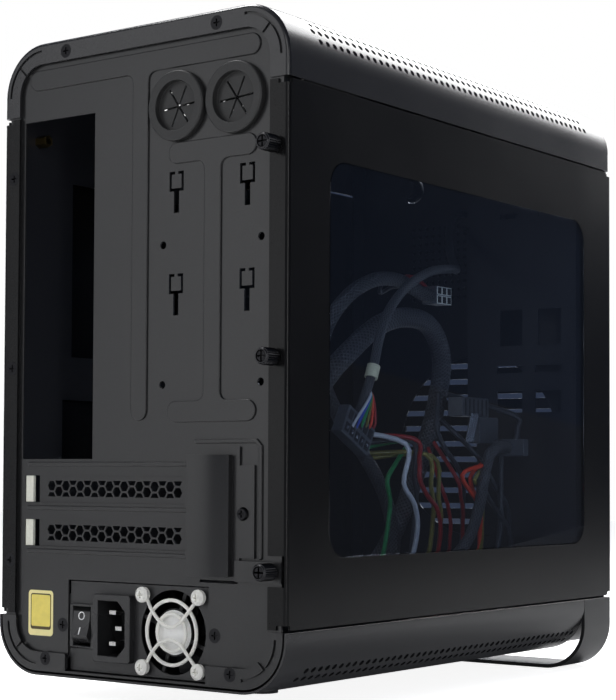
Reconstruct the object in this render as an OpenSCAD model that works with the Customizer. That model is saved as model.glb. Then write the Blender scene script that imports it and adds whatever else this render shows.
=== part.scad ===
// Mini-ITX computer case: a steel tube body with a windowed side, a slim power
// supply along its floor and a bent strip foot. +Y is the rear, -X the windowed side.

/* [Body] */
// Width of the body
body_w = 169; // [150:1:230]
// Height of the body above the foot's drop
body_h = 295; // [285:1:380]
// Depth of the body without what stands out of the rear
body_d = 296; // [280:1:400]
// Radius of the four long edges
corner_r = 24; // [18:1:32]
// Thickness of the steel sheet
sheet = 1; // [0.8:0.1:1.2]
// Outside radius of the bend at the ends of the covers
bend_r = 2.1; // [2:0.1:3]
// Height of the top cover's straight sides below its curve
top_skirt = 9.5; // [6:0.5:16]
// Height of the bottom cover's straight sides above its curve
bottom_skirt = 3; // [2:0.5:12]
// Open gap at each seam
seam = 1; // [0.6:0.1:1.6]
// Distance that the inner floor pan lies in from the outer sheet's face
pan_inset = 2; // [1.8:0.1:2.4]

/* [Ends] */
// Width of the raised border round each end
border_w = 10; // [9:0.5:12]
// Depth of the rear and front plates behind the border
recess = 2; // [1.8:0.1:2.4]
// Length of the wall that returns from the end plates
return_l = 12; // [8:1:16]
// Width of the relief slots in the border
relief_w = 1.3; // [1:0.1:1.6]
// Distance of the curved relief slots from the outer face
relief_inset = 3.4; // [3.2:0.1:4.5]
// Height of the pressed ribs
rib_h = 0.9; // [0.6:0.1:1.2]
// Width of the broad pressed ribs
rib_w = 9.4; // [8:0.2:11]
// Width of the narrow pressed beads
bead_w = 2; // [1.6:0.1:2.4]

/* [Window] */
// Distance of the window opening from the body's ends
window_end = 30; // [20:1:60]
// Height of the window opening
window_h = 173; // [120:1:190]
// Height of the window's lower edge above the body's bottom
window_z = 57; // [45:1:70]
// Corner radius of the window
window_r = 12; // [6:1:20]
// Thickness of the acrylic
window_t = 3; // [2.5:0.5:4]
// Width of the acrylic's rim behind the sheet
window_rim = 8; // [5:1:10]

/* [Foot] */
// Drop of the foot below the body
foot_h = 11; // [8:0.5:16]
// Width of the foot strip
foot_w = 30; // [20:1:40]
// Thickness of the foot strip
foot_t = 2; // [1.6:0.1:2.4]
// Thickness of the rubber pads under the rear
pad_t = 2; // [1.5:0.5:4]

/* [Board connectors and card slots] */
// Width of the board connector aperture
io_w = 44.45; // [44:0.05:45]
// Length of the board connector aperture
io_l = 158.75; // [158:0.05:159.5]
// Lower edge of the aperture above the body's bottom
io_z = 99.85; // [96:0.05:110]
// Distance of the aperture's middle from the body's middle
io_x = 50.1; // [46:0.1:52]
// Pitch of the card slots
slot_pitch = 20.32; // [20.3:0.01:20.4]
// Height of a card slot opening
slot_h = 12.4; // [12:0.1:13]
// Distance of the first slot's middle below the aperture
slot_drop = 13.8; // [13:0.1:15]
// Pitch of the columns of six-sided holes in the slot covers
comb_pitch = 4.51; // [4.2:0.01:4.6]
// Width of the steel between two six-sided holes
comb_web = 1.1; // [0.9:0.1:1.4]
// Height of the band of six-sided holes
comb_h = 7.4; // [6:0.1:9]

/* [Power supply] */
// Width of the power supply
psu_w = 81.5; // [80:0.5:84]
// Height of the power supply
psu_h = 40.5; // [40:0.5:42]
// Length of the power supply
psu_l = 150; // [130:1:170]
// Sheet thickness of the power supply's housing
psu_t = 0.8; // [0.6:0.1:1]
// Side of the square fan
fan_w = 40; // [40:0.5:40]
// Thickness of the fan
fan_t = 20; // [15:1:28]
// Pitch of the fan's screw holes
fan_pitch = 32; // [32:0.5:32]

/* [Fasteners] */
// Radius of a thumbscrew's knurled collar
thumb_r = 3.8; // [3.6:0.1:5]
// Length of a thumbscrew's knurled collar
thumb_l = 10; // [7:0.5:11]
// Radius of the screw's head inside the collar
thumb_core_r = 2.6; // [2.6:0.1:3.2]
// Pitch of the side panel's screws
side_screw_pitch = 90; // [80:1:95]
// Radius of a screw's shank
screw_r = 1.5; // [1.4:0.1:1.6]
// Length of a screw's shank
screw_l = 2.8; // [2.4:0.1:4]
// Radius of a countersunk head
head_r = 3.2; // [3:0.1:3.6]

/* [Clearances] */
// Gap of loose fits
gap = 0.3; // [0.2:0.05:0.4]
// Running clearance on the radius of pins and shafts
run_gap = 0.05; // [0.03:0.01:0.08]

/* [Hidden] */
$fn = 48;
eps = 0.01;
hw = body_w/2;
top_h = corner_r + top_skirt;
bottom_h = corner_r + bottom_skirt;
window_d = body_d - 2*window_end;
yr = body_d/2;
yf = -yr;
rear_proud = thumb_l + sheet;
y_shift = -rear_proud/2;
panel_z0 = bottom_h + seam;
panel_z1 = body_h - top_h - seam;
top_z0 = body_h - top_h;
plate_y = yr - recess;
rim_inset = pan_inset + sheet + gap;
pan_border = border_w + 0.8;
foot_y0 = yf;
foot_y1 = yf + foot_w;

slot_z = [for (i = [0, 1]) io_z - slot_drop - i*slot_pitch];
slot_x0 = -38;
slot_x1 = 70.4;
tab_w = 4.9;
comb_row = comb_pitch*2/sqrt(3);
comb_r = comb_row/sqrt(3) - comb_web/2;
slot_gap = 2.4;

psu_x = 0.5;
psu_z = pan_inset + sheet + 0.5;
psu_mid_z = psu_z + psu_h/2;
psu_y = plate_y - sheet;
psu_fan_x = psu_x - psu_w/2 + fan_w/2;
ear_x = 45;
inlet_x = psu_x + 13;
inlet_w = 22.4;
inlet_l = 30.4;
inlet_proud = 3.4;
switch_x = psu_x + 32.8;
switch_w = 14.8;
switch_l = 20.4;
switch_proud = 1.4;

side_screw_x = hw - 6.5;
side_screw_z = [for (i = [-1, 0, 1]) 142.5 + i*side_screw_pitch];
top_screw_x = 45;
top_screw_z = body_h - 5.8;
bottom_screw_x = 54.5;
bottom_screw_z = 8;

grommet_pos = [[-22.3, 255.6], [-55, 255.6]];
grommet_r = 15.7;
grommet_hole_r = 12.5;
grommet_proud = 3;

tray_x = hw - 8.5;
tray_z0 = 46;
tray_z1 = body_h - 19;
board_top = io_z + io_l - 0.4;
board_rear = plate_y - sheet - 1.2;
board_side = 170;
tray_y0 = board_rear - board_side - 33.8;
board_holes = [[10.16, 6.35], [33.02, 163.83], [165.1, 6.35], [165.1, 163.83]];
standoff_h = 6.5;

main_d = 10;
board_d = 7;
drive_d = 6;
usb_d = 4.5;
main_route = [[16, -5, 26], [16, -24, 26], [12, -46, 36], [2, -61, 62], [-10, -65, 95], [-23, -62, 126],
    [-35, -50, 153], [-41, -29, 169], [-43, -5, 172], [-43, 19, 167], [-42, 40, 155], [-38, 60, 137],
    [-33, 78, 110], [-28, 86, 82], [-24, 80, 60], [-22, 67, 51.5], [-22, 54.2, 51]];
board_route = [[2, -5, 22], [2, -22, 22], [-4, -37, 32], [-12, -40, 56], [-15, -27, 82], [-17, -4, 104],
    [-20, 22, 122], [-25, 43, 142], [-32, 50, 162], [-38, 42, 178], [-41, 24, 188], [-41, 4, 190.5],
    [-41, -11, 188], [-41, -21, 185.6], [-41, -28.2, 185.4]];
drive_route = [[-12, -5, 20], [-12, -20, 20], [-18, -38, 26], [-30, -52, 40], [-44, -60, 58], [-51, -61, 76],
    [-53.5, -62, 92], [-54, -67, 104], [-54, -76, 108], [-54, -85.3, 108]];
usb_route = [[0, -133.8, 243], [0, -124, 242], [-2, -112, 234], [-14, -92, 216], [-34, -66, 203],
    [-50, -36, 199], [-57, -4, 194], [-60, 22, 184], [-61, 40, 170], [-62, 49, 156],
    [-62, 53, 144], [-62, 58.2, 133.5], [-62, 62.3, 126.5], [-62, 66, 119.8]];

// Places the body's frame, whose origin is at the body's bottom, in the part's frame
module in_body() {
    translate([0, y_shift, foot_h]) children();
}

// Rounded rectangle with its middle at the origin
module rounded_rect(w, h, r) {
    square([w - 2*r, h], center = true);
    square([w, h - 2*r], center = true);
    for (i = [-1, 1], j = [-1, 1]) translate([i*(w/2 - r), j*(h/2 - r)]) circle(r);
}

// Outline of the body's end, moved in by a distance
module end_outline(inset) {
    translate([0, body_h/2]) rounded_rect(body_w - 2*inset, body_h - 2*inset, corner_r - inset);
}

// Stands a flat outline up so that its front face looks along +Y at y
module upright(y, t) {
    translate([0, y, 0]) rotate([90, 0, 0]) linear_extrude(t) children();
}

// Drills along Y through y
module drill(x, z, r, y0, y1) {
    translate([x, y0, z]) rotate([-90, 0, 0]) cylinder(r = r, h = y1 - y0);
}

// Box from corner to corner
module span(a, b) {
    translate(a) cube([b[0] - a[0], b[1] - a[1], b[2] - a[2]]);
}

// Section of a sheet that is bent in at both ends: X is outwards from the corner's axis
module flanged_section(r, y0, y1, flange) {
    len = y1 - y0;
    difference() {
        union() {
            translate([r - flange, y0]) square([flange - bend_r, len]);
            translate([r - flange, y0 + bend_r]) square([flange, len - 2*bend_r]);
            for (y = [y0 + bend_r, y1 - bend_r]) translate([r - bend_r, y]) circle(bend_r);
        }
        translate([r - flange - 1, y0 + sheet]) square([flange + 1 - bend_r, len - 2*sheet]);
        translate([r - flange - 1, y0 + bend_r]) square([flange + 1 - sheet, len - 2*bend_r]);
        for (y = [y0 + bend_r, y1 - bend_r]) translate([r - bend_r, y]) circle(bend_r - sheet);
    }
}

// Section of a plain sheet
module plain_section(r, y0, y1, t) {
    translate([r - t, y0]) square([t, y1 - y0]);
}

// Sweeps a section round the body's top edge, down to height z0
module round_top(z0) {
    zc = body_h - corner_r;
    for (m = [0, 1]) mirror([m, 0, 0]) translate([hw - corner_r, 0, 0]) {
        translate([0, 0, z0]) linear_extrude(zc - z0) children();
        translate([0, 0, zc]) rotate([-90, 0, 0]) rotate([0, 0, -90]) rotate_extrude(angle = 90) children();
    }
    translate([hw - corner_r, 0, zc]) rotate([0, -90, 0]) linear_extrude(body_w - 2*corner_r) children();
}

// Sweeps a section round the body's lower edge, up to height z1, with its corner's axis at zc
module round_bottom(z1, zc) {
    for (m = [0, 1]) mirror([m, 0, 0]) translate([hw - corner_r, 0, 0]) {
        translate([0, 0, zc]) linear_extrude(z1 - zc) children();
        translate([0, 0, zc]) rotate([-90, 0, 0]) rotate_extrude(angle = 90) children();
    }
    translate([-(hw - corner_r), 0, zc]) rotate([0, 90, 0]) linear_extrude(body_w - 2*corner_r) children();
}

// Curved relief slot and diagonal slit that part a flange at a rounded corner
module corner_relief(inset, y0, y1) {
    r1 = corner_r - inset;
    for (m = [0, 1]) mirror([m, 0, 0]) translate([hw - corner_r, 0, 0])
        upright(y1, y1 - y0) {
            intersection() {
                difference() {
                    circle(r1);
                    circle(r1 - relief_w);
                }
                square(corner_r);
            }
            rotate(45) translate([corner_r - border_w - 1, -relief_w/2])
                square([border_w - inset + 0.5, relief_w]);
        }
}

// Countersunk hole along Y, its mouth at y
module countersink(x, z, y) {
    drill(x, z, screw_r + gap, y - 8, y + 1);
    translate([x, y - sheet, z]) rotate([-90, 0, 0])
        cylinder(r1 = screw_r + 0.1, r2 = head_r + 0.1, h = sheet + eps);
}

// Countersunk screw along Y, its head's face at y
module flat_screw(x, z, y) {
    translate([x, y, z]) rotate([90, 0, 0]) difference() {
        union() {
            cylinder(r1 = head_r, r2 = screw_r, h = sheet);
            cylinder(r = screw_r, h = screw_l);
        }
        cross_recess(3.4, 1.1);
    }
}

// Recess for a cross-tip driver, cut from z = 0 upwards
module cross_recess(l, depth) {
    for (a = [0, 90]) rotate(a) translate([-l/2, -0.35, -eps]) cube([l, 0.7, depth]);
}

// Outline of a bar with round ends from one point to another
module bar(a, b, w) {
    translate(a) circle(w/2);
    translate(b) circle(w/2);
    translate(a) rotate(atan2(b[1] - a[1], b[0] - a[0])) translate([0, -w/2]) square([norm(b - a), w]);
}

// Hollow corner that eases the meeting of two bars into the quadrant turned by an angle
module ease(p, angle, r) {
    translate(p) rotate(angle) difference() {
        translate([-1, -1]) square(r + 1);
        translate([r, r]) circle(r);
    }
}

// Pressed ribs that stiffen the rear panel, and the beads between the card slots
module ribs() {
    h = rib_w/2;
    zt = body_h - 17.3;
    zi = [120.5, 234.8];
    xi = -42.3;
    r = 4;
    upright(plate_y + rib_h, rib_h + eps) {
        bar([-63.5, zt], [64, zt], rib_w);
        bar([-0.3, 121.5], [-0.3, zt], rib_w);
        for (m = [0, 1]) translate([-0.3, 0]) mirror([m, 0]) ease([h, zt - h], 270, r);
        bar([xi, zi[0]], [xi, zi[1]], rib_w);
        for (z = zi) bar([xi - 19.5, z], [xi + 20.5, z], rib_w);
        for (m = [0, 1]) translate([xi, 0]) mirror([m, 0]) {
            ease([h, zi[1] - h], 270, r);
            ease([h, zi[0] + h], 0, r);
        }
        for (z = [io_z - 2.3, slot_z[0] - 8.7, slot_z[1] - 8.4]) bar([-28, z], [67.5, z], bead_w);
        bar([-67, 107.4], [-34, 107.4], bead_w);
        bar([-69.4, 58], [-69.4, 105], bead_w);
        bar([-67, 107.4], [-69.4, 105], bead_w);
    }
}

// Lanced slot: an outline cut round a tab, above an open stem
module key_slot(x, z) {
    upright(yr, recess + 2*sheet) translate([x, z]) {
        difference() {
            square([8.2, 8.8], center = true);
            square([5.6, 6.2], center = true);
            translate([-0.9, 2]) square([1.8, 4]);
        }
        translate([-1.5, -14]) square([3, 10]);
    }
}

// End plate: a field behind the border, joined to a rim that backs the border
module end_plate(y, dir) {
    translate([0, y, 0]) scale([1, dir, 1]) {
        upright(-recess, sheet) end_outline(border_w - 1.5);
        upright(-sheet, recess - sheet) difference() {
            end_outline(rim_inset);
            end_outline(border_w - 0.5);
        }
        intersection() {
            translate([0, -return_l - sheet, 0]) span([-hw, 0, panel_z0 + 4], [hw, return_l, body_h - 5]);
            upright(-sheet, return_l) difference() {
                end_outline(rim_inset);
                end_outline(rim_inset + sheet);
            }
        }
    }
}

module rear_panel() {
    color("dimgray") in_body() difference() {
        union() {
            end_plate(yr, 1);
            ribs();
        }
        span([-hw, yr - return_l - 2, -1], [hw, yr + 1, pan_inset + 2*sheet]);
        span([io_x - io_w/2, yr - 8, io_z], [io_x + io_w/2, yr + 1, io_z + io_l]);
        for (z = slot_z) span([slot_x0, yr - 8, z - slot_h/2], [slot_x1, yr + 1, z + slot_h/2]);
        span([psu_x - psu_w/2 - 0.8, yr - 8, -1], [psu_x + psu_w/2 + 0.8, yr + 1, psu_z + psu_h + 0.6]);
        for (g = grommet_pos) drill(g[0], g[1], grommet_hole_r, yr - 8, yr + 1);
        for (x = [-21.3, -61.1], z = [222.4, 177]) key_slot(x, z);
        for (x = [-13.8, -68.8], z = [132.5, 194.5]) drill(x, z, 1.75, yr - 8, yr + 1);
        span([-57, yr - 8, 46.4], [-36, yr + 1, 47.6]);
        for (x = [-ear_x, ear_x]) countersink(psu_x + x, psu_mid_z, plate_y);
        countersink(-60.5, 76.3, plate_y);
        for (z = side_screw_z) {
            drill(-side_screw_x, z, screw_r + run_gap, yr - 8, yr + 1);
            drill(side_screw_x, z, screw_r + gap, yr - 8, yr + 1);
        }
        for (x = [-top_screw_x, top_screw_x]) drill(x, top_screw_z, screw_r + gap, yr - 8, yr + 1);
        for (x = [-bottom_screw_x, bottom_screw_x]) drill(x, bottom_screw_z, screw_r + gap, yr - 8, yr + 1);
    }
}

module top_cover() {
    color("dimgray") in_body() difference() {
        round_top(top_z0) flanged_section(corner_r, yf, yr, border_w);
        for (y = [yr, yf + sheet]) translate([0, 0, body_h - corner_r])
            corner_relief(relief_inset, y - sheet - eps, y + eps);
        for (x = [-top_screw_x, top_screw_x]) countersink(x, top_screw_z, yr);
    }
}

module bottom_cover() {
    color("dimgray") in_body() {
        round_bottom(bottom_h, corner_r) plain_section(corner_r, foot_y1 + gap, yr, sheet);
        for (m = [0, 1]) mirror([m, 0, 0])
            span([hw - pan_inset, foot_y1 + gap, corner_r], [hw - sheet + eps, yr - 8, bottom_h]);
    }
}

module bottom_pan() {
    r = corner_r - pan_inset;
    color("dimgray") in_body() difference() {
        union() {
            round_bottom(bottom_h, corner_r) plain_section(r, yf, yr, sheet);
            for (y = [yr, yf + sheet]) upright(y, sheet) intersection() {
                difference() {
                    end_outline(pan_inset);
                    end_outline(pan_border);
                }
                translate([-hw, 0]) square([body_w, bottom_h]);
            }
        }
        span([psu_x - psu_w/2 - 0.8, yr - 2*sheet, pan_inset + sheet],
            [psu_x + psu_w/2 + 0.8, yr + 1, bottom_h + 1]);
        translate([0, 0, corner_r]) mirror([0, 0, 1]) corner_relief(5.2, yr - sheet - eps, yr + eps);
        for (x = [-bottom_screw_x, bottom_screw_x]) countersink(x, bottom_screw_z, yr);
    }
}

// Side sheet with a flange at its rear and a plain front end, before its openings
module side_sheet() {
    translate([hw - corner_r, 0, panel_z0]) linear_extrude(panel_z1 - panel_z0) difference() {
        union() {
            flanged_section(corner_r, yf, yr, border_w);
            translate([corner_r - sheet, yf]) square([sheet, bend_r + 1]);
        }
        translate([corner_r - border_w - 1, yf - 1]) square([border_w + 1 - sheet, bend_r + 2]);
    }
}

// Notches that free the sheet's corners at the seams
module seam_notches() {
    for (z = [panel_z0 - 1, panel_z1 - 2]) {
        span([hw - 5.5, yr - sheet - 1.6, z], [hw + 1, yr + 1, z + 3]);
        span([hw - 5.5, yf - 1, z], [hw + 1, yf + 4, z + 3]);
    }
}

module window_side_panel() {
    z = window_z + window_h/2;
    color("dimgray") in_body() mirror([1, 0, 0]) difference() {
        side_sheet();
        translate([hw - sheet - 1, 0, z]) rotate([90, 0, 90]) linear_extrude(sheet + 2)
            rounded_rect(window_d, window_h, window_r);
        for (z = [side_screw_z[1], side_screw_z[2]]) drill(side_screw_x, z, screw_r + run_gap, yr - 2, yr + 1);
        span([hw - border_w - 1, yr - sheet - 1, side_screw_z[0] - 6.5],
            [hw - sheet - gap, yr + 1, side_screw_z[0] + 6.5]);
        seam_notches();
    }
}

module side_window() {
    z = window_z + window_h/2;
    color([0.25, 0.3, 0.36, 0.5]) in_body() mirror([1, 0, 0]) translate([hw, 0, z]) rotate([90, 0, -90]) {
        translate([0, 0, sheet]) linear_extrude(window_t - sheet)
            rounded_rect(window_d + 2*window_rim, window_h + 2*window_rim, window_r + window_rim);
        linear_extrude(sheet + eps) rounded_rect(window_d - 2*gap, window_h - 2*gap, window_r - gap);
    }
}

module solid_side_panel() {
    color("dimgray") in_body() difference() {
        side_sheet();
        for (z = side_screw_z) countersink(side_screw_x, z, yr);
        seam_notches();
    }
}

module front_frame() {
    color("dimgray") in_body() difference() {
        end_plate(yf, -1);
        span([-hw, yf - 1, -1], [hw, yf + return_l + 2, pan_inset + 2*sheet]);
        for (i = [0:9], j = [0:9]) drill(4 + 4.4*i, 197 + 4.6*j, 1.2, yf - 1, yf + 6);
        drill(0, 110, 52, yf - 1, yf + 6);
        drill(front_button_x, front_button_z, 8, yf - 1, yf + 6);
        span([-24, yf - 1, 236], [4, yf + 6, 250]);
    }
}

front_button_x = 45;
front_button_z = 262;

module front_bezel() {
    color("dimgray") in_body() difference() {
        union() {
            upright(yf + recess, recess - gap) end_outline(pan_border + gap);
            upright(yf + sheet, sheet - gap) translate([0, (panel_z0 + panel_z1)/2])
                square([body_w - 2*sheet - 2*gap, panel_z1 - panel_z0 - 2*gap], center = true);
        }
        drill(front_button_x, front_button_z, 7 + gap, yf - 1, yf + 4);
        for (x = [-17, -3]) span([x - 6.6, yf - 1, 240], [x + 6.6, yf + 4, 246]);
        for (i = [-5:5]) span([-50, yf - 1, 110 + 9*i], [50, yf + 4, 113 + 9*i]);
    }
}

module front_foot() {
    color("dimgray") in_body() translate([0, 0, 0])
        round_bottom(bottom_h, corner_r - foot_h) plain_section(corner_r, foot_y0, foot_y1, foot_t);
}

module rear_pads() {
    color("black") in_body() for (x = [-52, 52])
        translate([x, yr - 26, -pad_t]) cylinder(r = 7, h = pad_t);
}

module motherboard_tray() {
    color("dimgray") in_body() difference() {
        union() {
            span([tray_x, tray_y0, tray_z0], [tray_x + sheet, plate_y - sheet, tray_z1]);
            span([tray_x - 10, plate_y - 2*sheet, io_z + io_l + 2], [tray_x + sheet, plate_y - sheet, tray_z1]);
            span([tray_x - 10, tray_y0, tray_z0], [tray_x + sheet, tray_y0 + sheet, tray_z1]);
        }
        span([tray_x - 1, 30, 150], [tray_x + 2, 110, 235]);
        span([tray_x - 1, 60, 98], [tray_x + 2, 116, 129]);
        span([tray_x - 1, -52, 80], [tray_x + 2, -34, 240]);
        for (h = board_holes) translate([tray_x - 1, board_rear - h[0], board_top - h[1]])
            rotate([0, 90, 0]) cylinder(r = 2.2, h = 4);
    }
}

module board_standoffs() {
    color("goldenrod") in_body() for (h = board_holes)
        translate([tray_x + sheet, board_rear - h[0], board_top - h[1]]) rotate([0, -90, 0]) difference() {
            union() {
                cylinder(r = 2.1, h = sheet + 0.2);
                translate([0, 0, sheet]) cylinder(r = 2.9, h = standoff_h, $fn = 6);
            }
            translate([0, 0, -1]) cylinder(r = 1.4, h = standoff_h + sheet + 2);
        }
}

module drive_cage() {
    y1 = yf + 26;
    color("dimgray") in_body() difference() {
        union() {
            span([-tray_x, y1, 120], [-8, y1 + sheet, 250]);
            span([-tray_x, y1, 60], [-14, y1 + sheet, 120]);
            span([-8 - sheet, yf + recess + sheet, 120], [-8, y1 + sheet, 234]);
            span([-tray_x, yf + recess + sheet, 60], [-tray_x + sheet, y1 + sheet, 250]);
        }
        for (x = [-36, -60]) {
            span([x - 7, y1 - 1, 165], [x + 7, y1 + 2, 185]);
            span([x - 7, y1 - 1, 150], [x + 9, y1 + 2, 154]);
            span([x - 7, y1 - 1, 128], [x + 9, y1 + 2, 140]);
            span([x - 5, y1 - 1, 236], [x + 7, y1 + 2, 239]);
        }
    }
}

module psu_housing() {
    x0 = psu_x - psu_w/2;
    x1 = psu_x + psu_w/2;
    color("dimgray") in_body() difference() {
        union() {
            span([x0, psu_y - psu_l, psu_z], [x1, psu_y, psu_z + psu_h]);
            span([psu_x - ear_x - 5, psu_y - psu_t, psu_z + 6], [psu_x + ear_x + 5, psu_y, psu_z + psu_h - 6]);
        }
        span([x0 + psu_t, psu_y - psu_l + psu_t, psu_z + psu_t],
            [x1 - psu_t, psu_y - psu_t, psu_z + psu_h - psu_t]);
        drill(psu_fan_x, psu_mid_z, 18.6, psu_y - 3, psu_y + 1);
        for (i = [-1, 1], j = [-1, 1])
            drill(psu_fan_x + i*fan_pitch/2, psu_mid_z + j*fan_pitch/2, screw_r + gap, psu_y - 3, psu_y + 1);
        span([inlet_x - 10, psu_y - 3, psu_mid_z - 14], [inlet_x + 10, psu_y + 1, psu_mid_z + 14]);
        span([switch_x - 6.4, psu_y - 3, psu_mid_z - 9.6], [switch_x + 6.4, psu_y + 1, psu_mid_z + 9.6]);
        for (s = [-1, 1]) drill(psu_x + s*ear_x, psu_mid_z, screw_r + run_gap, psu_y - 3, psu_y + 1);
        for (r = [main_route[0], board_route[0], drive_route[0]])
            drill(r[0], r[2], (r[0] > 10 ? main_d : board_d)/2 + gap, psu_y - psu_l - 1, psu_y - psu_l + 2);
    }
}

// Outline of the connector opening, its two cut corners towards -X
module inlet_outline() {
    w = 16.2;
    h = 24.6;
    cut = 4.5;
    polygon([[-w/2 + cut, -h/2], [w/2, -h/2], [w/2, h/2], [-w/2 + cut, h/2], [-w/2, h/2 - cut],
        [-w/2, -h/2 + cut]]);
}

module power_inlet() {
    color("black") in_body() translate([inlet_x, 0, psu_mid_z]) difference() {
        union() {
            upright(psu_y + inlet_proud, inlet_proud) rounded_rect(inlet_w, inlet_l, 1.6);
            upright(psu_y + eps, 18) square([19.4, 27.4], center = true);
        }
        upright(psu_y + inlet_proud + 1, 17) inlet_outline();
    }
}

module inlet_blades() {
    color("silver") in_body() for (b = [[1.8, 7], [-1.8, 0], [1.8, -7]])
        span([inlet_x + b[0] - 2, psu_y + inlet_proud - 16, psu_mid_z + b[1] - 1],
            [inlet_x + b[0] + 2, psu_y + inlet_proud - 3, psu_mid_z + b[1] + 1]);
}

pivot_in = 4;
pivot_r = 1.5;

module switch_frame() {
    color("black") in_body() translate([switch_x, psu_y, psu_mid_z]) difference() {
        union() {
            upright(switch_proud, switch_proud) rounded_rect(switch_w, switch_l, 0.8);
            upright(eps, 12) square([12.4, 18.8], center = true);
        }
        translate([-5.4, -10.8, -8.9]) cube([10.8, 20, 17.8]);
        translate([-7, -pivot_in, 0]) rotate([0, 90, 0]) cylinder(r = pivot_r + run_gap, h = 14);
    }
}

module switch_rocker() {
    r = 8.6;
    w = 10.2;
    color([0.12, 0.12, 0.13]) in_body() translate([switch_x, psu_y - pivot_in, psu_mid_z]) {
        rotate([12, 0, 0]) rotate([90, 0, 90]) translate([0, 0, -w/2]) linear_extrude(w) difference() {
            intersection() {
                circle(r);
                translate([-2.6, -r]) square([2*r, 2*r]);
            }
            translate([6 + 28, 0]) circle(28);
        }
        rotate([0, 90, 0]) cylinder(r = pivot_r, h = 12, center = true);
    }
}

module psu_fan_frame() {
    color("black") in_body() translate([psu_fan_x, psu_y - psu_t, psu_mid_z]) {
        difference() {
            upright(0, fan_t) difference() {
                rounded_rect(fan_w - 1.8, fan_w - 1.6, 3);
                circle(18.8);
            }
            for (i = [-1, 1], j = [-1, 1]) drill(i*fan_pitch/2, j*fan_pitch/2, screw_r, -fan_t - 1, 1);
        }
        upright(0, 2) difference() {
            union() {
                circle(10.5);
                for (a = [20:90:290]) rotate(a) translate([9, -0.9]) square([10.4, 1.8]);
            }
            circle(2);
        }
        upright(eps, fan_t - 4) circle(2);
    }
}

module psu_fan_rotor() {
    hub_r = 10;
    color("black") in_body() translate([psu_fan_x, psu_y - psu_t - 2.5, psu_mid_z]) difference() {
        union() {
            upright(0, fan_t - 4) circle(hub_r);
            intersection() {
                upright(0, fan_t - 4) circle(18.2);
                for (i = [0:6]) rotate([0, i*360/7, 0]) translate([hub_r - 1, -7.5, 0]) rotate([-35, 0, 0])
                    translate([0, -0.6, -7]) cube([10, 1.2, 14]);
            }
        }
        drill(0, 0, 2 + run_gap, -fan_t, 1);
    }
}

module fan_guard() {
    wire_r = 0.95;
    loop = [1.8, 3.4];
    reach = fan_pitch/sqrt(2);
    color("white") in_body() translate([psu_fan_x, psu_y, psu_mid_z]) rotate([90, 0, 0]) {
        for (r = [14.4, 8]) translate([0, 0, -2.2]) rotate_extrude() translate([r, 0]) circle(wire_r);
        for (a = [45:90:315]) rotate(a) {
            translate([reach, 0, -1.8]) difference() {
                cylinder(r = loop[1], h = 1.8);
                translate([0, 0, -1]) cylinder(r = loop[0], h = 4);
            }
            translate([7, 0, -0.95]) rotate([0, 90, 0]) cylinder(r = 0.85, h = reach - loop[1] - 6.4);
        }
    }
}

module fan_guard_screws() {
    color("white") in_body() for (i = [-1, 1], j = [-1, 1])
        translate([psu_fan_x + i*fan_pitch/2, psu_y + 1.9, psu_mid_z + j*fan_pitch/2])
            rotate([90, 0, 0]) difference() {
                union() {
                    translate([0, 0, -1.2]) cylinder(r = 3.5, h = 1.2);
                    translate([0, 0, -2.2]) cylinder(r1 = 2.2, r2 = 3.5, h = 1);
                    cylinder(r = screw_r - run_gap, h = 9);
                }
                translate([0, 0, -2.2]) cross_recess(3.2, 1.2);
            }
}

module psu_screws() {
    color("black") in_body() for (s = [-1, 1]) flat_screw(psu_x + s*ear_x, psu_mid_z, plate_y);
}

module cable_grommets() {
    y0 = plate_y - sheet - 2;
    color("black") in_body() for (g = grommet_pos) translate([g[0], 0, g[1]]) difference() {
        union() {
            drill(0, 0, grommet_r, plate_y, plate_y + grommet_proud - 0.6);
            translate([0, plate_y + grommet_proud - 0.6, 0]) rotate([-90, 0, 0])
                cylinder(r1 = grommet_r, r2 = grommet_r - 0.6, h = 0.6);
            drill(0, 0, grommet_hole_r - gap, y0, plate_y + eps);
            drill(0, 0, grommet_hole_r + 1.2, y0, plate_y - sheet);
        }
        drill(0, 0, 11.2, plate_y, plate_y + grommet_proud + 1);
        drill(0, 0, 11.2, y0 - 1, plate_y - 1.2);
        for (a = [0:60:150]) rotate([0, a + 5, 0]) translate([-9.5, plate_y - 2, -0.35]) cube([19, 4, 0.7]);
    }
}

// Perforated cover of a card slot, its outer face behind the plate
module slot_cover(z) {
    y = plate_y - sheet;
    color("dimgray") in_body() difference() {
        union() {
            span([slot_x0 - 8, y - sheet, z - slot_h/2 - 2], [62, y, z + slot_h/2 + 2]);
            span([slot_x0 + 0.2, y - eps, z - slot_h/2 + gap], [-29, plate_y + 0.6, z + slot_h/2 - gap]);
        }
        upright(y + 1, sheet + 2) translate([0, z + 0.2]) intersection() {
            translate([-30, -comb_h/2]) square([90, comb_h]);
            for (i = [0:17], j = [-1, 0, 1]) translate([54.3 - comb_pitch*i, comb_row*(j - 0.5*(i % 2) + 0.25)])
                circle(comb_r, $fn = 6);
        }
    }
}

module slot_cover_upper() {
    slot_cover(slot_z[0]);
}

module slot_cover_lower() {
    slot_cover(slot_z[1]);
}

module slot_end_pads() {
    color("ivory") in_body() for (z = slot_z)
        span([slot_x1 - tab_w, plate_y - 2*sheet, z - slot_h/2 + 0.05],
            [slot_x1 - 0.05, plate_y - 0.4, z + slot_h/2 - 0.05]);
}

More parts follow.
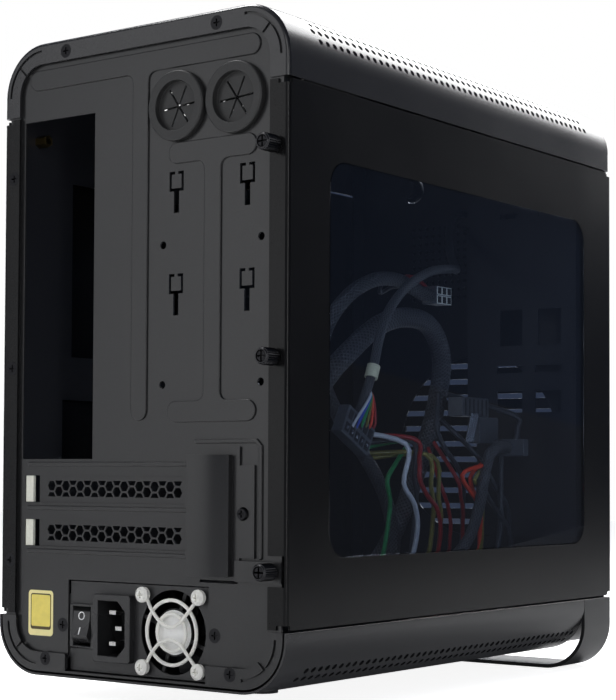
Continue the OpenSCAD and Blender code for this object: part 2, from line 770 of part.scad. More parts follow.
// Bent clamp over the card brackets: hood, chamfer, base and the tab under the lower thumbscrew
module slot_clamp() {
    z0 = 49.4;
    z1 = 101.5;
    h = 8.5;
    tab_z = side_screw_z[0];
    profile = [[-54.5, 0], [-54.5, 3.6], [-46.5, h], [-35, h], [-35, h - sheet], [-46.2, h - sheet],
        [-53.5, 3.2], [-53.5, 0]];
    color("dimgray") in_body() difference() {
        union() {
            translate([0, plate_y, z0]) linear_extrude(z1 - z0) polygon(profile);
            span([-66.5, plate_y, 57.5], [-53.5, plate_y + sheet, 97]);
            span([-58.5, plate_y, 47.8], [-53.5, plate_y + sheet, 105]);
            span([-58.5, plate_y, tab_z - 5], [-58.5 + sheet, yr + sheet, tab_z + 4]);
            span([-hw + bend_r + gap, yr, tab_z - 5], [-58.5 + sheet, yr + sheet, tab_z + 4]);
        }
        drill(-60.5, 76.3, screw_r + gap, plate_y - 1, plate_y + 2);
        drill(-side_screw_x, tab_z, screw_r + run_gap, yr - 1, yr + 3);
    }
}

module slot_clamp_screw() {
    color("gray") in_body() translate([-60.5, plate_y + sheet, 76.3]) rotate([90, 0, 0]) difference() {
        union() {
            translate([0, 0, -1.4]) cylinder(r1 = 2.3, r2 = 3, h = 1.4);
            cylinder(r = screw_r, h = screw_l + sheet);
        }
        translate([0, 0, -1.4]) cross_recess(3, 1);
    }
}

// Knurled collar turned by hand, pressed on its screw, its underside at y
module thumbscrew(z, y) {
    teeth = 24;
    color("gray") in_body() translate([-side_screw_x, y, z]) rotate([-90, 0, 0]) difference() {
        union() {
            cylinder(r = thumb_r - 0.8, h = 1.6);
            translate([0, 0, 1.5]) linear_extrude(thumb_l - 2.1)
                polygon([for (i = [0:2*teeth - 1]) let (r = thumb_r - (i % 2)*0.35)
                    [r*cos(i*180/teeth), r*sin(i*180/teeth)]]);
            translate([0, 0, thumb_l - 0.7]) cylinder(r1 = thumb_r - 0.35, r2 = thumb_r - 0.8, h = 0.7);
        }
        translate([0, 0, -1]) cylinder(r = screw_r + run_gap, h = 4);
        translate([0, 0, 2]) cylinder(r = thumb_core_r + run_gap, h = thumb_l);
    }
}

// Cross-tip screw inside a thumbscrew's collar
module thumbscrew_core(z, y) {
    color("dimgray") in_body() translate([-side_screw_x, y, z]) rotate([-90, 0, 0]) difference() {
        union() {
            translate([0, 0, -7]) cylinder(r = screw_r, h = 10);
            translate([0, 0, 2]) cylinder(r = thumb_core_r, h = thumb_l - 2.5);
            translate([0, 0, thumb_l - 0.5]) cylinder(r1 = thumb_core_r, r2 = thumb_core_r - 0.4, h = 0.3);
        }
        translate([0, 0, thumb_l - 0.2]) mirror([0, 0, 1]) cross_recess(4.6, 1.6);
    }
}

module thumbscrew_upper() {
    thumbscrew(side_screw_z[2], yr);
}

module thumbscrew_middle() {
    thumbscrew(side_screw_z[1], yr);
}

module thumbscrew_lower() {
    thumbscrew(side_screw_z[0], yr + sheet);
}

module thumbscrew_core_upper() {
    thumbscrew_core(side_screw_z[2], yr);
}

module thumbscrew_core_middle() {
    thumbscrew_core(side_screw_z[1], yr);
}

module thumbscrew_core_lower() {
    thumbscrew_core(side_screw_z[0], yr + sheet);
}

module side_panel_screws() {
    color("gray") in_body() for (z = side_screw_z) flat_screw(side_screw_x, z, yr);
}

module cover_screws() {
    color("gray") in_body() {
        for (x = [-top_screw_x, top_screw_x]) flat_screw(x, top_screw_z, yr);
        for (x = [-bottom_screw_x, bottom_screw_x]) flat_screw(x, bottom_screw_z, yr);
    }
}

module power_button() {
    color("silver") in_body() {
        drill(front_button_x, front_button_z, 7, yf, yf + 5);
        drill(front_button_x, front_button_z, 5, yf + 5 - eps, yf + 9);
    }
}

module front_port_block() {
    color("black") in_body() difference() {
        span([-25, yf + recess + sheet, 235], [5, yf + 14, 251]);
        for (x = [-17, -3]) span([x - 6.4, yf - 1, 240.2], [x + 6.4, yf + 11, 245.8]);
    }
}

// Tube of a round cord swept along a smooth curve through hand-picked points
function catmull(p0, p1, p2, p3, t) =
    0.5*((2*p1) + (p2 - p0)*t + (2*p0 - 5*p1 + 4*p2 - p3)*t*t + (3*p1 - p0 - 3*p2 + p3)*t*t*t);
function curve_points(p, steps) = let (n = len(p)) [
    for (i = [0:n - 2], k = [0:steps - 1])
        catmull(p[max(i - 1, 0)], p[i], p[i + 1], p[min(i + 2, n - 1)], k/steps),
    p[n - 1]];
function unit(v) = v/norm(v);
function tangent(p, i) = unit(p[min(i + 1, len(p) - 1)] - p[max(i - 1, 0)]);

// Carries the tube's cross direction from ring to ring without twisting it
function carried(p, i) = i == 0
    ? unit(cross(tangent(p, 0), [0.3, 0, 1]))
    : let (t = tangent(p, i), u = carried(p, i - 1)) unit(u - (u*t)*t);

module cord(route, d, steps, sides) {
    p = curve_points(route, steps);
    n = len(p);
    points = [for (i = [0:n - 1]) let (t = tangent(p, i), u = carried(p, i), v = cross(t, u))
        for (k = [0:sides - 1]) p[i] + (d/2)*(cos(k*360/sides)*u + sin(k*360/sides)*v)];
    skin = [for (i = [0:n - 2], k = [0:sides - 1]) let (a = i*sides + k, b = i*sides + (k + 1) % sides)
        [a, a + sides, b + sides, b]];
    first = [for (k = [0:sides - 1]) k];
    last = [for (k = [0:sides - 1]) n*sides - 1 - k];
    polyhedron(points, concat(skin, [first, last]), convexity = 6);
}

module main_power_cable() {
    color("dimgray") in_body() cord(main_route, main_d, 2, 10);
}

module board_power_cable() {
    color("dimgray") in_body() cord(board_route, board_d, 1, 8);
}

module drive_power_cable() {
    color("dimgray") in_body() cord(drive_route, drive_d, 1, 8);
}

module front_usb_cable() {
    color("dimgray") in_body() cord(usb_route, usb_d, 1, 8);
}

module main_power_connector() {
    color("black") in_body() translate([-22, 46, 51]) cube([12, 16, 14], center = true);
}

module board_power_connector() {
    color("black") in_body() translate([-41, -35.35, 185.4]) cube([9, 14, 9], center = true);
}

module drive_power_connector() {
    color("black") in_body() translate([-54, -88, 108]) cube([20, 5, 9], center = true);
}

module front_usb_connector() {
    color("gray") in_body() translate([-62, 69.5, 113.5]) rotate([29, 0, 0]) cube([6, 24, 14], center = true);
}

rear_panel();
top_cover();
bottom_cover();
bottom_pan();
window_side_panel();
side_window();
solid_side_panel();
front_frame();
front_bezel();
front_foot();
rear_pads();
motherboard_tray();
board_standoffs();
drive_cage();
psu_housing();
power_inlet();
inlet_blades();
switch_frame();
switch_rocker();
psu_fan_frame();
psu_fan_rotor();
fan_guard();
fan_guard_screws();
psu_screws();
cable_grommets();
slot_cover_upper();
slot_cover_lower();
slot_end_pads();
slot_clamp();
slot_clamp_screw();
thumbscrew_upper();
thumbscrew_middle();
thumbscrew_lower();
thumbscrew_core_upper();
thumbscrew_core_middle();
thumbscrew_core_lower();
side_panel_screws();
cover_screws();
power_button();
front_port_block();
main_power_cable();
main_power_connector();
board_power_cable();
board_power_connector();
drive_power_cable();
drive_power_connector();
front_usb_cable();
front_usb_connector();
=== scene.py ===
import logging
import math
from dataclasses import dataclass
from enum import Enum
from functools import cache
from typing import Callable, Sequence

import bmesh
import bpy
from mathutils import Euler, Matrix, Vector


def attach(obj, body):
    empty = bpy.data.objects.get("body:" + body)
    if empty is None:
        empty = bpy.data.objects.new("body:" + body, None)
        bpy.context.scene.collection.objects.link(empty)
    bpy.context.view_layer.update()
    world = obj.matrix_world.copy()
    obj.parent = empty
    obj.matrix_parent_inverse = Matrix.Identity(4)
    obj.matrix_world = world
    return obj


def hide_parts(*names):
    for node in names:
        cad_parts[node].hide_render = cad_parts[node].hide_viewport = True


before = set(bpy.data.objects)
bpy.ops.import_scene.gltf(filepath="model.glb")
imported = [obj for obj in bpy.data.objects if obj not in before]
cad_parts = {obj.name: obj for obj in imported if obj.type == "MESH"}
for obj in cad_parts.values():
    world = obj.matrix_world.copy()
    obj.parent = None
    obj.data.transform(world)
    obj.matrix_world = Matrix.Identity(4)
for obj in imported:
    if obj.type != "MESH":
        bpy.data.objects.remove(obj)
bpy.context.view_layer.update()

MM = 0.001
BODY_ORIGIN = Vector((0.0, -5.5, 11.0))  # of the body's own frame, in the shared frame
SHELL_MIDDLE = 0.16  # height between the upper and the lower shoulders, in metres
HAIR = 1e-5  # what counts as no difference, in metres
MIX_A, MIX_B, MIX_RESULT = 6, 7, 2  # the colour sockets of a Mix node
log = logging.getLogger("case")

Point = Sequence[float]
Colour = tuple[float, float, float]
Piece = bpy.types.Object
Tree = bpy.types.NodeTree
Node = bpy.types.Node
Socket = bpy.types.NodeSocket


class Slot(Enum):
    """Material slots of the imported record."""

    STEEL = "black_steel"
    ACRYLIC = "smoked_acrylic"
    RUBBER = "black_rubber"
    BRASS = "brass_post"
    PLASTIC = "black_plastic"
    NICKEL = "nickel"
    SCREW = "black_screw"
    PALE = "pale_plastic"
    BUTTON = "button_metal"
    SLEEVE = "grey_sleeve"
    GREY = "grey_plastic"


def at(point: Point) -> Vector:
    """A point of the body's own frame in millimetres, as a point of the shared frame in metres."""
    return (Vector(point) + BODY_ORIGIN) * MM


def srgb(level: float) -> float:
    """The linear value of a display level from 0 to 255."""
    v = level / 255.0
    return v / 12.92 if v <= 0.04045 else ((v + 0.055) / 1.055) ** 2.4


def tone(red: float, green: float, blue: float) -> Colour:
    """A linear colour from three display levels."""
    return (srgb(red), srgb(green), srgb(blue))


class Wiring:
    """Adds and links the nodes of one material, world or group."""

    def __init__(self, tree: Tree) -> None:
        """Keeps the tree that is wired."""
        self.tree = tree

    def add(self, kind: str, **values: object) -> Node:
        """Adds a node.

        Args:
            kind: The node's Blender type.
            values: Properties of the node, and inputs named with an `in_` prefix.

        Returns:
            The new node.
        """
        node = self.tree.nodes.new(kind)
        for name, value in values.items():
            if name.startswith("in_"):
                self.put(node, **{name[3:]: value})
            else:
                setattr(node, name, value)
        return node

    @staticmethod
    def put(node: Node, **values: object) -> Node:
        """Sets a node's inputs, whose names have underscores for spaces, and returns the node."""
        for name, value in values.items():
            node.inputs[name.replace("_", " ")].default_value = value
        return node

    def coordinates(self, kind: str) -> Socket:
        """The object's own coordinates, or those of its UV map."""
        return self.add("ShaderNodeTexCoord").outputs[kind]

    def group(self, tree: Tree, place: Socket, **values: float) -> Node:
        """Adds a shared group.

        Args:
            tree: The group.
            place: The coordinates for its first input.
            values: Its other inputs.

        Returns:
            The group's node.
        """
        node = self.put(self.add("ShaderNodeGroup", node_tree=tree), **values)
        self.link(place, node.inputs[0])
        return node

    def bump(self, height: Socket, shader: Node, strength: float, distance: float) -> None:
        """Bumps a shader's surface.

        Args:
            height: The socket with the height.
            shader: The shader.
            strength: How much of the height counts.
            distance: The full height in metres.
        """
        node = self.add("ShaderNodeBump", in_Strength=strength, in_Distance=distance)
        self.link(height, node.inputs["Height"])
        self.link(node.outputs["Normal"], shader.inputs["Normal"])

    def link(self, source: Socket, target: Socket) -> None:
        """Links an output to an input."""
        self.tree.links.new(source, target)

    def finish(self, shader: Socket) -> None:
        """Puts a shader on the material's output."""
        self.link(shader, self.tree.nodes["Material Output"].inputs["Surface"])

    def maths(self, operation: str, a: object, b: object = 0.0) -> Socket:
        """A Math node on two sockets or numbers.

        Args:
            operation: The operation's name.
            a: First socket or number.
            b: Second socket or number.

        Returns:
            The node's output.
        """
        node = self.add("ShaderNodeMath", operation=operation)
        for socket, value in zip(node.inputs, (a, b)):
            if isinstance(value, Socket):
                self.link(value, socket)
            else:
                socket.default_value = value
        return node.outputs[0]

    def span(self, value: Socket, low: float, high: float) -> Socket:
        """A value from 0 to 1 stretched to run from low to high."""
        node = self.add("ShaderNodeMapRange", in_To_Min=low, in_To_Max=high)
        self.link(value, node.inputs["Value"])
        return node.outputs["Result"]

    def blend(self, factor: Socket, a: Colour, b: Colour) -> Socket:
        """A colour mixed from two by a factor.

        Args:
            factor: Socket with values from 0 to 1.
            a: Colour at 0.
            b: Colour at 1.

        Returns:
            The mixed colour's output.
        """
        node = self.add("ShaderNodeMix", data_type="RGBA")
        node.inputs[MIX_A].default_value = (*a, 1.0)
        node.inputs[MIX_B].default_value = (*b, 1.0)
        self.link(factor, node.inputs["Factor"])
        return node.outputs[MIX_RESULT]


class SurfaceGroups:
    """Node groups that several finishes share."""

    @staticmethod
    def _start(name: str, place: str, numbers: dict[str, float],
               results: Sequence[str]) -> tuple[Wiring, Node, Node]:
        """Makes a group with its sockets.

        Args:
            name: The group's name.
            place: Name of the input for its coordinates.
            numbers: Name and default of each number that it takes.
            results: Name of each number that it gives.

        Returns:
            The wiring, the group's input node and its output node.
        """
        tree = bpy.data.node_groups.new(name, "ShaderNodeTree")
        tree.interface.new_socket(place, in_out="INPUT", socket_type="NodeSocketVector")
        for title, default in numbers.items():
            socket = tree.interface.new_socket(title, in_out="INPUT", socket_type="NodeSocketFloat")
            socket.default_value = default
        for title in results:
            tree.interface.new_socket(title, in_out="OUTPUT", socket_type="NodeSocketFloat")
        wiring = Wiring(tree)
        return wiring, wiring.add("NodeGroupInput"), wiring.add("NodeGroupOutput")

    @staticmethod
    @cache
    def grain() -> Tree:
        """The fine texture of a baked coat or a moulded face, with its slow change of tone."""
        w, entry, leave = SurfaceGroups._start("coat_grain", "Place", {"Scale": 2500.0},
                                               ("Height", "Fleck", "Tone"))
        fine = w.add("ShaderNodeTexNoise", in_Detail=2.0, in_Roughness=0.6)
        cells = w.add("ShaderNodeTexVoronoi", feature="SMOOTH_F1")
        slow = w.add("ShaderNodeTexNoise", in_Scale=14.0, in_Detail=3.0, in_Roughness=0.55)
        for node in (fine, cells):
            w.link(entry.outputs["Place"], node.inputs["Vector"])
            w.link(entry.outputs["Scale"], node.inputs["Scale"])
        w.link(entry.outputs["Place"], slow.inputs["Vector"])
        height = w.maths("ADD", w.maths("MULTIPLY", fine.outputs["Fac"], 0.6),
                         w.maths("MULTIPLY", cells.outputs["Distance"], 0.4))
        w.link(height, leave.inputs["Height"])
        fleck = w.add("ShaderNodeMapRange", in_From_Min=0.35, in_From_Max=0.65)
        w.link(fine.outputs["Fac"], fleck.inputs["Value"])
        w.link(fleck.outputs["Result"], leave.inputs["Fleck"])
        w.link(slow.outputs["Fac"], leave.inputs["Tone"])
        return w.tree

    @staticmethod
    @cache
    def brushed() -> Tree:
        """Fine drawing lines and faint smears on plated metal."""
        w, entry, leave = SurfaceGroups._start("drawn_metal", "Place", {"Scale": 900.0}, ("Height", "Smear"))
        lines = w.add("ShaderNodeTexNoise", in_Detail=3.0, in_Roughness=0.7)
        smear = w.add("ShaderNodeTexNoise", in_Scale=160.0, in_Detail=2.0)
        for node in (lines, smear):
            w.link(entry.outputs["Place"], node.inputs["Vector"])
        w.link(entry.outputs["Scale"], lines.inputs["Scale"])
        w.link(lines.outputs["Fac"], leave.inputs["Height"])
        w.link(smear.outputs["Fac"], leave.inputs["Smear"])
        return w.tree

    @staticmethod
    @cache
    def braid() -> Tree:
        """A woven sleeve on a cord's own UV map: U round the cord, V along it in metres."""
        w, entry, leave = SurfaceGroups._start("woven_sleeve", "Along", {"Strands": 14.0, "Pitch": 700.0},
                                               ("Height", "Gap"))
        parts = w.add("ShaderNodeSeparateXYZ")
        w.link(entry.outputs["Along"], parts.inputs["Vector"])
        turn = w.maths("MULTIPLY", parts.outputs["X"], entry.outputs["Strands"])
        run = w.maths("MULTIPLY", parts.outputs["Y"], entry.outputs["Pitch"])
        heights = []
        for sign in ("ADD", "SUBTRACT"):
            lane = w.maths(sign, turn, run)
            wave = w.maths("SINE", w.maths("MULTIPLY", lane, math.tau))
            heights.append(w.maths("MULTIPLY", w.maths("ADD", wave, 1.0), 0.5))
        height = w.maths("MAXIMUM", heights[0], heights[1])
        w.link(height, leave.inputs["Height"])
        # The gap mask darkens the strands' sides as well as the gaps: painted shade, besides the cable
        # beneath.
        w.link(w.maths("POWER", w.maths("SUBTRACT", 1.0, height), 0.7), leave.inputs["Gap"])
        return w.tree


def new_material(name: str) -> tuple[bpy.types.Material, Wiring]:
    """Makes a material, and the wiring of its nodes."""
    made = bpy.data.materials.new(name)
    made.use_nodes = True
    return made, Wiring(made.node_tree)


@dataclass(frozen=True)
class Finish:
    """A finish with a colour and a gloss. Each kind dresses its own material."""

    name: str
    colour: Colour
    rough: float = 0.45

    def material(self) -> bpy.types.Material:
        """The finish's material, made once."""
        if self.name in bpy.data.materials:
            return bpy.data.materials[self.name]
        made, wiring = new_material(self.name)
        self.dress(wiring, wiring.tree.nodes["Principled BSDF"])
        return made

    def dress(self, w: Wiring, shader: Node) -> None:
        """Wires the plain form: one colour and one roughness."""
        w.put(shader, Base_Color=(*self.colour, 1.0), Roughness=self.rough)

    def shade(self, level: float) -> Colour:
        """The finish's colour times a level."""
        return tuple(c * level for c in self.colour)


@dataclass(frozen=True)
class Coat(Finish):
    """A grained coat on steel, or a grained moulding."""

    grain: float = 2200.0
    depth: float = 0.00003
    strength: float = 0.5
    contrast: float = 0.25
    specular: float = 0.5

    def dress(self, w: Wiring, shader: Node) -> None:
        """Wires colour, roughness and bump to the shared grain."""
        group = w.group(SurfaceGroups.grain(), w.coordinates("Object"), Scale=self.grain)
        mix = w.maths("ADD", w.maths("MULTIPLY", group.outputs["Fleck"], 0.65),
                      w.maths("MULTIPLY", group.outputs["Tone"], 0.35))
        tint = w.blend(mix, self.shade(1.0 - self.contrast), self.shade(1.0 + self.contrast))
        gloss = w.span(group.outputs["Tone"], self.rough - 0.05, self.rough + 0.05)
        w.link(tint, shader.inputs["Base Color"])
        w.link(gloss, shader.inputs["Roughness"])
        w.bump(group.outputs["Height"], shader, self.strength, self.depth)
        w.put(shader, Specular_IOR_Level=self.specular)


@dataclass(frozen=True)
class Plate(Finish):
    """Bright or dark plated metal."""

    lines: float = 900.0

    def dress(self, w: Wiring, shader: Node) -> None:
        """Wires the metal with faint drawing lines."""
        group = w.group(SurfaceGroups.brushed(), w.coordinates("Object"), Scale=self.lines)
        smear = group.outputs["Smear"]
        w.link(w.blend(smear, self.shade(0.86), self.colour), shader.inputs["Base Color"])
        w.link(w.span(smear, self.rough - 0.05, self.rough + 0.08), shader.inputs["Roughness"])
        w.put(shader, Metallic=1.0)
        w.bump(group.outputs["Height"], shader, 0.25, 0.00001)


@dataclass(frozen=True)
class Glazing(Finish):
    """Clear or tinted acrylic that lets light through to the inside."""

    def dress(self, w: Wiring, shader: Node) -> None:
        """Wires the acrylic, and lets shadow rays pass."""
        cloud = w.group(SurfaceGroups.grain(), w.coordinates("Object"), Scale=60.0).outputs["Tone"]
        w.link(w.span(cloud, self.rough, self.rough + 0.03), shader.inputs["Roughness"])
        w.link(w.blend(cloud, self.shade(0.97), self.colour), shader.inputs["Base Color"])
        w.put(shader, Transmission_Weight=1.0, IOR=1.49)
        clear = w.add("ShaderNodeBsdfTransparent", in_Color=(*self.colour, 1.0))
        mix = w.add("ShaderNodeMixShader")
        path = w.add("ShaderNodeLightPath")
        w.link(path.outputs["Is Shadow Ray"], mix.inputs["Fac"])
        w.link(shader.outputs["BSDF"], mix.inputs[1])
        w.link(clear.outputs["BSDF"], mix.inputs[2])
        w.finish(mix.outputs["Shader"])


@dataclass(frozen=True)
class Sleeve(Finish):
    """A woven sleeve, whose strands darken down into their gaps: the dark cable beneath, and painted shade
    down the strands' sides.
    """

    under_and_shade: Colour = (0.01, 0.01, 0.01)
    strands: float = 12.0
    pitch: float = 420.0

    def dress(self, w: Wiring, shader: Node) -> None:
        """Wires the weave on the cord's UV map."""
        group = w.group(SurfaceGroups.braid(), w.coordinates("UV"), Strands=self.strands, Pitch=self.pitch)
        # The darker colour is the cable under the weave, and painted shade down the strands' sides.
        w.link(w.blend(group.outputs["Gap"], self.colour, self.under_and_shade), shader.inputs["Base Color"])
        w.put(shader, Roughness=self.rough)
        w.bump(group.outputs["Height"], shader, 0.9, 0.0004)


class Paint:
    """The finishes of the whole case."""

    REAR = Coat("rear_coat", tone(36, 36, 37), 0.3, grain=2600.0, strength=0.3, contrast=0.3)
    SIDE = Coat("side_coat", tone(20, 20, 21), 0.22, grain=2600.0, strength=0.3, contrast=0.3, specular=0.18)
    COVER = Coat("cover_coat", tone(39, 39, 41), 0.22, grain=2600.0, strength=0.35, contrast=0.3)
    INNER = Coat("inner_coat", tone(27, 28, 33), 0.45, grain=2600.0, contrast=0.25)
    SUPPLY = Coat("supply_coat", tone(44, 44, 45), 0.42, grain=2300.0, contrast=0.28)
    MOULDED = Coat("moulded_black", tone(26, 26, 27), 0.36, grain=1500.0, depth=0.00002, contrast=0.15)
    GLOSSY = Coat("glossy_black", tone(40, 40, 41), 0.28, grain=900.0, depth=0.00001, contrast=0.1)
    DEEP = Coat("deep_black", tone(9, 9, 10), 0.4, grain=1500.0, depth=0.00002, contrast=0.15, specular=0.3)
    RUBBER = Coat("soft_rubber", tone(42, 42, 42), 0.5, grain=1200.0, depth=0.00004, contrast=0.2)
    LABEL = Coat("hub_label", tone(250, 250, 248), 0.4, grain=600.0, depth=0.00001, contrast=0.03)
    PALE = Coat("pale_pad", tone(236, 236, 222), 0.6, grain=900.0, depth=0.00004, contrast=0.06)
    SCREW = Plate("black_zinc", tone(46, 46, 48), 0.4)
    THUMB = Plate("dark_thumbscrew", tone(62, 62, 64), 0.34)
    # Near-white colour on a plain coat: the pale nickel, plus painted sheen for the plated wire's
    # reflections.
    NICKEL = Coat("nickel_with_painted_sheen", tone(244, 243, 236), 0.3, grain=700.0, depth=0.00001, contrast=0.03,
                  specular=0.9)
    BLADE = Plate("blade_nickel", tone(190, 190, 188), 0.25)
    BRASS = Plate("post_brass", tone(112, 96, 60), 0.34)
    GOLD = Coat("gold_film", tone(246, 226, 110), 0.35, grain=300.0, depth=0.00001, contrast=0.06)
    GOLD_EDGE = Coat("gold_border", tone(252, 240, 170), 0.35, grain=300.0, depth=0.00001, contrast=0.04)
    GOLD_DARK = Coat("gold_dark", tone(78, 66, 18), 0.4, grain=300.0, depth=0.00001, contrast=0.05)
    ACRYLIC = Glazing("window_acrylic", (0.62, 0.69, 0.8), 0.0)
    # Its darker colour is the cable beneath, and painted shade between the strands.
    MESH = Sleeve("grey_braid", tone(96, 96, 98), 0.45, under_and_shade=tone(16, 16, 18))
    MARK = Coat("white_mark", tone(250, 250, 250), 0.5, grain=900.0, depth=0.00001, contrast=0.03)
    CONNECTOR = Coat("connector_grey", tone(84, 86, 90), 0.36, grain=900.0, depth=0.00002, contrast=0.12)
    # Dark colour for the wells and grooves of the connectors: painted shade in their holes.
    HOLE_SHADE = Coat("connector_black", tone(24, 25, 28), 0.35, grain=900.0, depth=0.00001, contrast=0.12)
    CONTACT = Plate("tinned_contact", tone(225, 226, 228), 0.25)
    SHRINK = Coat("cream_shrink", tone(236, 232, 196), 0.45, grain=700.0, depth=0.00003, contrast=0.08)


WIRE_SKINS = {
    name: Coat("wire_" + name, tone(*levels), 0.35, grain=400.0, depth=0.00001, contrast=0.06)
    for name, levels in {
        "red": (168, 34, 34),
        "orange": (236, 70, 40),
        "yellow": (136, 126, 56),
        "green": (44, 150, 84),
        "blue": (60, 90, 190),
        "white": (214, 216, 220),
        "grey": (62, 64, 68),
    }.items()
}


class Bench:
    """The modelling steps that the pieces share."""

    @staticmethod
    def clear() -> None:
        """Leaves edit mode and deselects everything."""
        if bpy.context.object and bpy.context.object.mode != "OBJECT":
            bpy.ops.object.mode_set(mode="OBJECT")
        bpy.ops.object.select_all(action="DESELECT")

    @staticmethod
    def take(*pieces: Piece) -> Piece:
        """Selects pieces alone, with the first active, and returns it."""
        Bench.clear()
        for piece in pieces:
            piece.select_set(True)
        bpy.context.view_layer.objects.active = pieces[0]
        return pieces[0]

    @staticmethod
    def edit(piece: Piece, mode: str = "FACE", chosen: bool = False) -> None:
        """Opens a piece in edit mode with all or none of it selected."""
        Bench.take(piece)
        bpy.ops.object.mode_set(mode="EDIT")
        bpy.ops.mesh.select_mode(type=mode)
        bpy.ops.mesh.select_all(action="SELECT" if chosen else "DESELECT")

    @staticmethod
    def pick(piece: Piece, test: Callable[..., bool], kind: str) -> int:
        """Selects, in edit mode, what a test accepts.

        Args:
            piece: The piece that is in edit mode.
            test: Says whether a vertex or an edge is taken.
            kind: verts or edges.

        Returns:
            How many were taken.
        """
        mesh = bmesh.from_edit_mesh(piece.data)
        count = 0
        for element in getattr(mesh, kind):
            if test(element):
                element.select_set(True)
                count += 1
        bmesh.update_edit_mesh(piece.data)
        return count

    @staticmethod
    def done() -> None:
        """Returns to object mode."""
        bpy.ops.object.mode_set(mode="OBJECT")

    @staticmethod
    def settle(piece: Piece, name: str) -> Piece:
        """Names a piece and puts its place into its mesh."""
        Bench.take(piece)
        bpy.ops.object.transform_apply(location=True, rotation=True, scale=True)
        piece.name = name
        piece.data.name = name
        return piece

    @staticmethod
    def modify(piece: Piece, kind: str, **values: object) -> Piece:
        """Adds a modifier and applies it at once.

        Args:
            piece: The piece.
            kind: The modifier's Blender type.
            values: The modifier's settings.

        Returns:
            The piece.
        """
        Bench.take(piece)
        modifier = piece.modifiers.new(kind.lower(), kind)
        for key, value in values.items():
            setattr(modifier, key, value)
        bpy.ops.object.modifier_apply(modifier=modifier.name)
        return piece

    @staticmethod
    def copy_node(node: str, name: str = "") -> Piece:
        """Copies a CAD node as a clean mesh of flat faces.

        Args:
            node: The CAD node.
            name: The copy's name, or nothing for the node's name with _piece.

        Returns:
            The copy, with its corners merged.
        """
        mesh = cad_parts[node].data.copy()
        mesh.materials.clear()
        piece = put_in(name or node + "_piece", mesh)
        Bench.edit(piece, chosen=True)
        bpy.ops.mesh.remove_doubles(threshold=0.000004)
        bpy.ops.mesh.dissolve_limited(angle_limit=math.radians(0.6))
        Bench.done()
        return piece

    @staticmethod
    def soften(piece: Piece, width: float, segments: int = 2, angle: float = 32.0) -> Piece:
        """Breaks the edges by a width in millimetres and smooths the piece.

        Args:
            piece: The piece.
            width: Width of the broken edges in millimetres.
            segments: Their segments.
            angle: Angle in degrees from which an edge is broken.

        Returns:
            The piece.
        """
        if width > 0:
            Bench.modify(piece, "BEVEL", width=width * MM, segments=segments, limit_method="ANGLE",
                         angle_limit=math.radians(angle))
        Bench.smooth(piece)
        return Bench.modify(piece, "WEIGHTED_NORMAL", mode="FACE_AREA", weight=80, keep_sharp=True)

    @staticmethod
    def break_edges(piece: Piece, test: Callable[[bmesh.types.BMEdge], bool], width: float,
                    segments: int = 2, clamp: bool = True) -> Piece:
        """Bevels the edges that a test accepts.

        Args:
            piece: The piece.
            test: Says whether an edge is bevelled.
            width: Width of the bevel in millimetres.
            segments: Its segments.
            clamp: Whether narrow places hold the width back.

        Returns:
            The piece.
        """
        Bench.edit(piece, "EDGE")
        taken = Bench.pick(
            piece, lambda e: len(e.link_faces) == 2 and e.calc_face_angle(0.0) > 0.5 and test(e), "edges")
        if taken:
            bpy.ops.mesh.bevel(offset=width * MM, segments=segments, affect="EDGES", clamp_overlap=clamp)
        Bench.done()
        log.info("  %s: %d edges broken by %.2f mm", piece.name, taken, width)
        return piece

    @staticmethod
    def round_normals(piece: Piece, axes: Sequence[tuple[float, float]], inner: float,
                      outer: float) -> Piece:
        """Gives curved sheet faces the normals of their cylinders, whatever holes cut them.

        Args:
            piece: The piece.
            axes: X and Z of each corner's axis in metres, in the shared frame.
            inner: Smallest radius of the faces in metres.
            outer: Largest radius of the faces in metres.

        Returns:
            The piece.
        """
        mesh = piece.data
        normals = [Vector(corner.vector) for corner in mesh.corner_normals]
        for face in mesh.polygons:
            for x, z in axes:
                away = Vector((face.center.x - x, 0.0, face.center.z - z))
                if away.x * x < -HAIR or not inner < away.length < outer:
                    continue
                side = face.normal.dot(away.normalized())
                if abs(side) < 0.94 or away.z * (z - SHELL_MIDDLE) < -HAIR:
                    continue
                sense = math.copysign(1.0, side)
                for loop in face.loop_indices:
                    spot = mesh.vertices[mesh.loops[loop].vertex_index].co
                    normals[loop] = Vector((spot.x - x, 0.0, spot.z - z)).normalized() * sense
        mesh.normals_split_custom_set(normals)
        return piece

    @staticmethod
    def bar(name: str, size: Point, place: Vector, width: float = 0.0,
            turn: Point = (0, 0, 0)) -> Piece:
        """A box of a size in millimetres round a point in metres, turned in radians, with broken edges."""
        Bench.clear()
        bpy.ops.mesh.primitive_cube_add(size=1.0, location=place, rotation=turn)
        piece = bpy.context.object
        piece.scale = Vector(size) * MM
        Bench.settle(piece, name)
        return Bench.soften(piece, width) if width else piece

    @staticmethod
    def rod(name: str, radius: float, length: float, place: Vector, turn: Point, sides: int) -> Piece:
        """A cylinder sized in millimetres round a point in metres, along Z before its turn in degrees."""
        Bench.clear()
        bpy.ops.mesh.primitive_cylinder_add(vertices=sides, radius=radius * MM, depth=length * MM,
                                            location=place, rotation=[math.radians(a) for a in turn])
        return Bench.smooth(Bench.settle(bpy.context.object, name))

    @staticmethod
    def smooth(piece: Piece, angle: float = 40.0) -> Piece:
        """Shades the piece smooth up to an angle."""
        Bench.take(piece)
        bpy.ops.object.shade_smooth_by_angle(angle=math.radians(angle))
        return piece

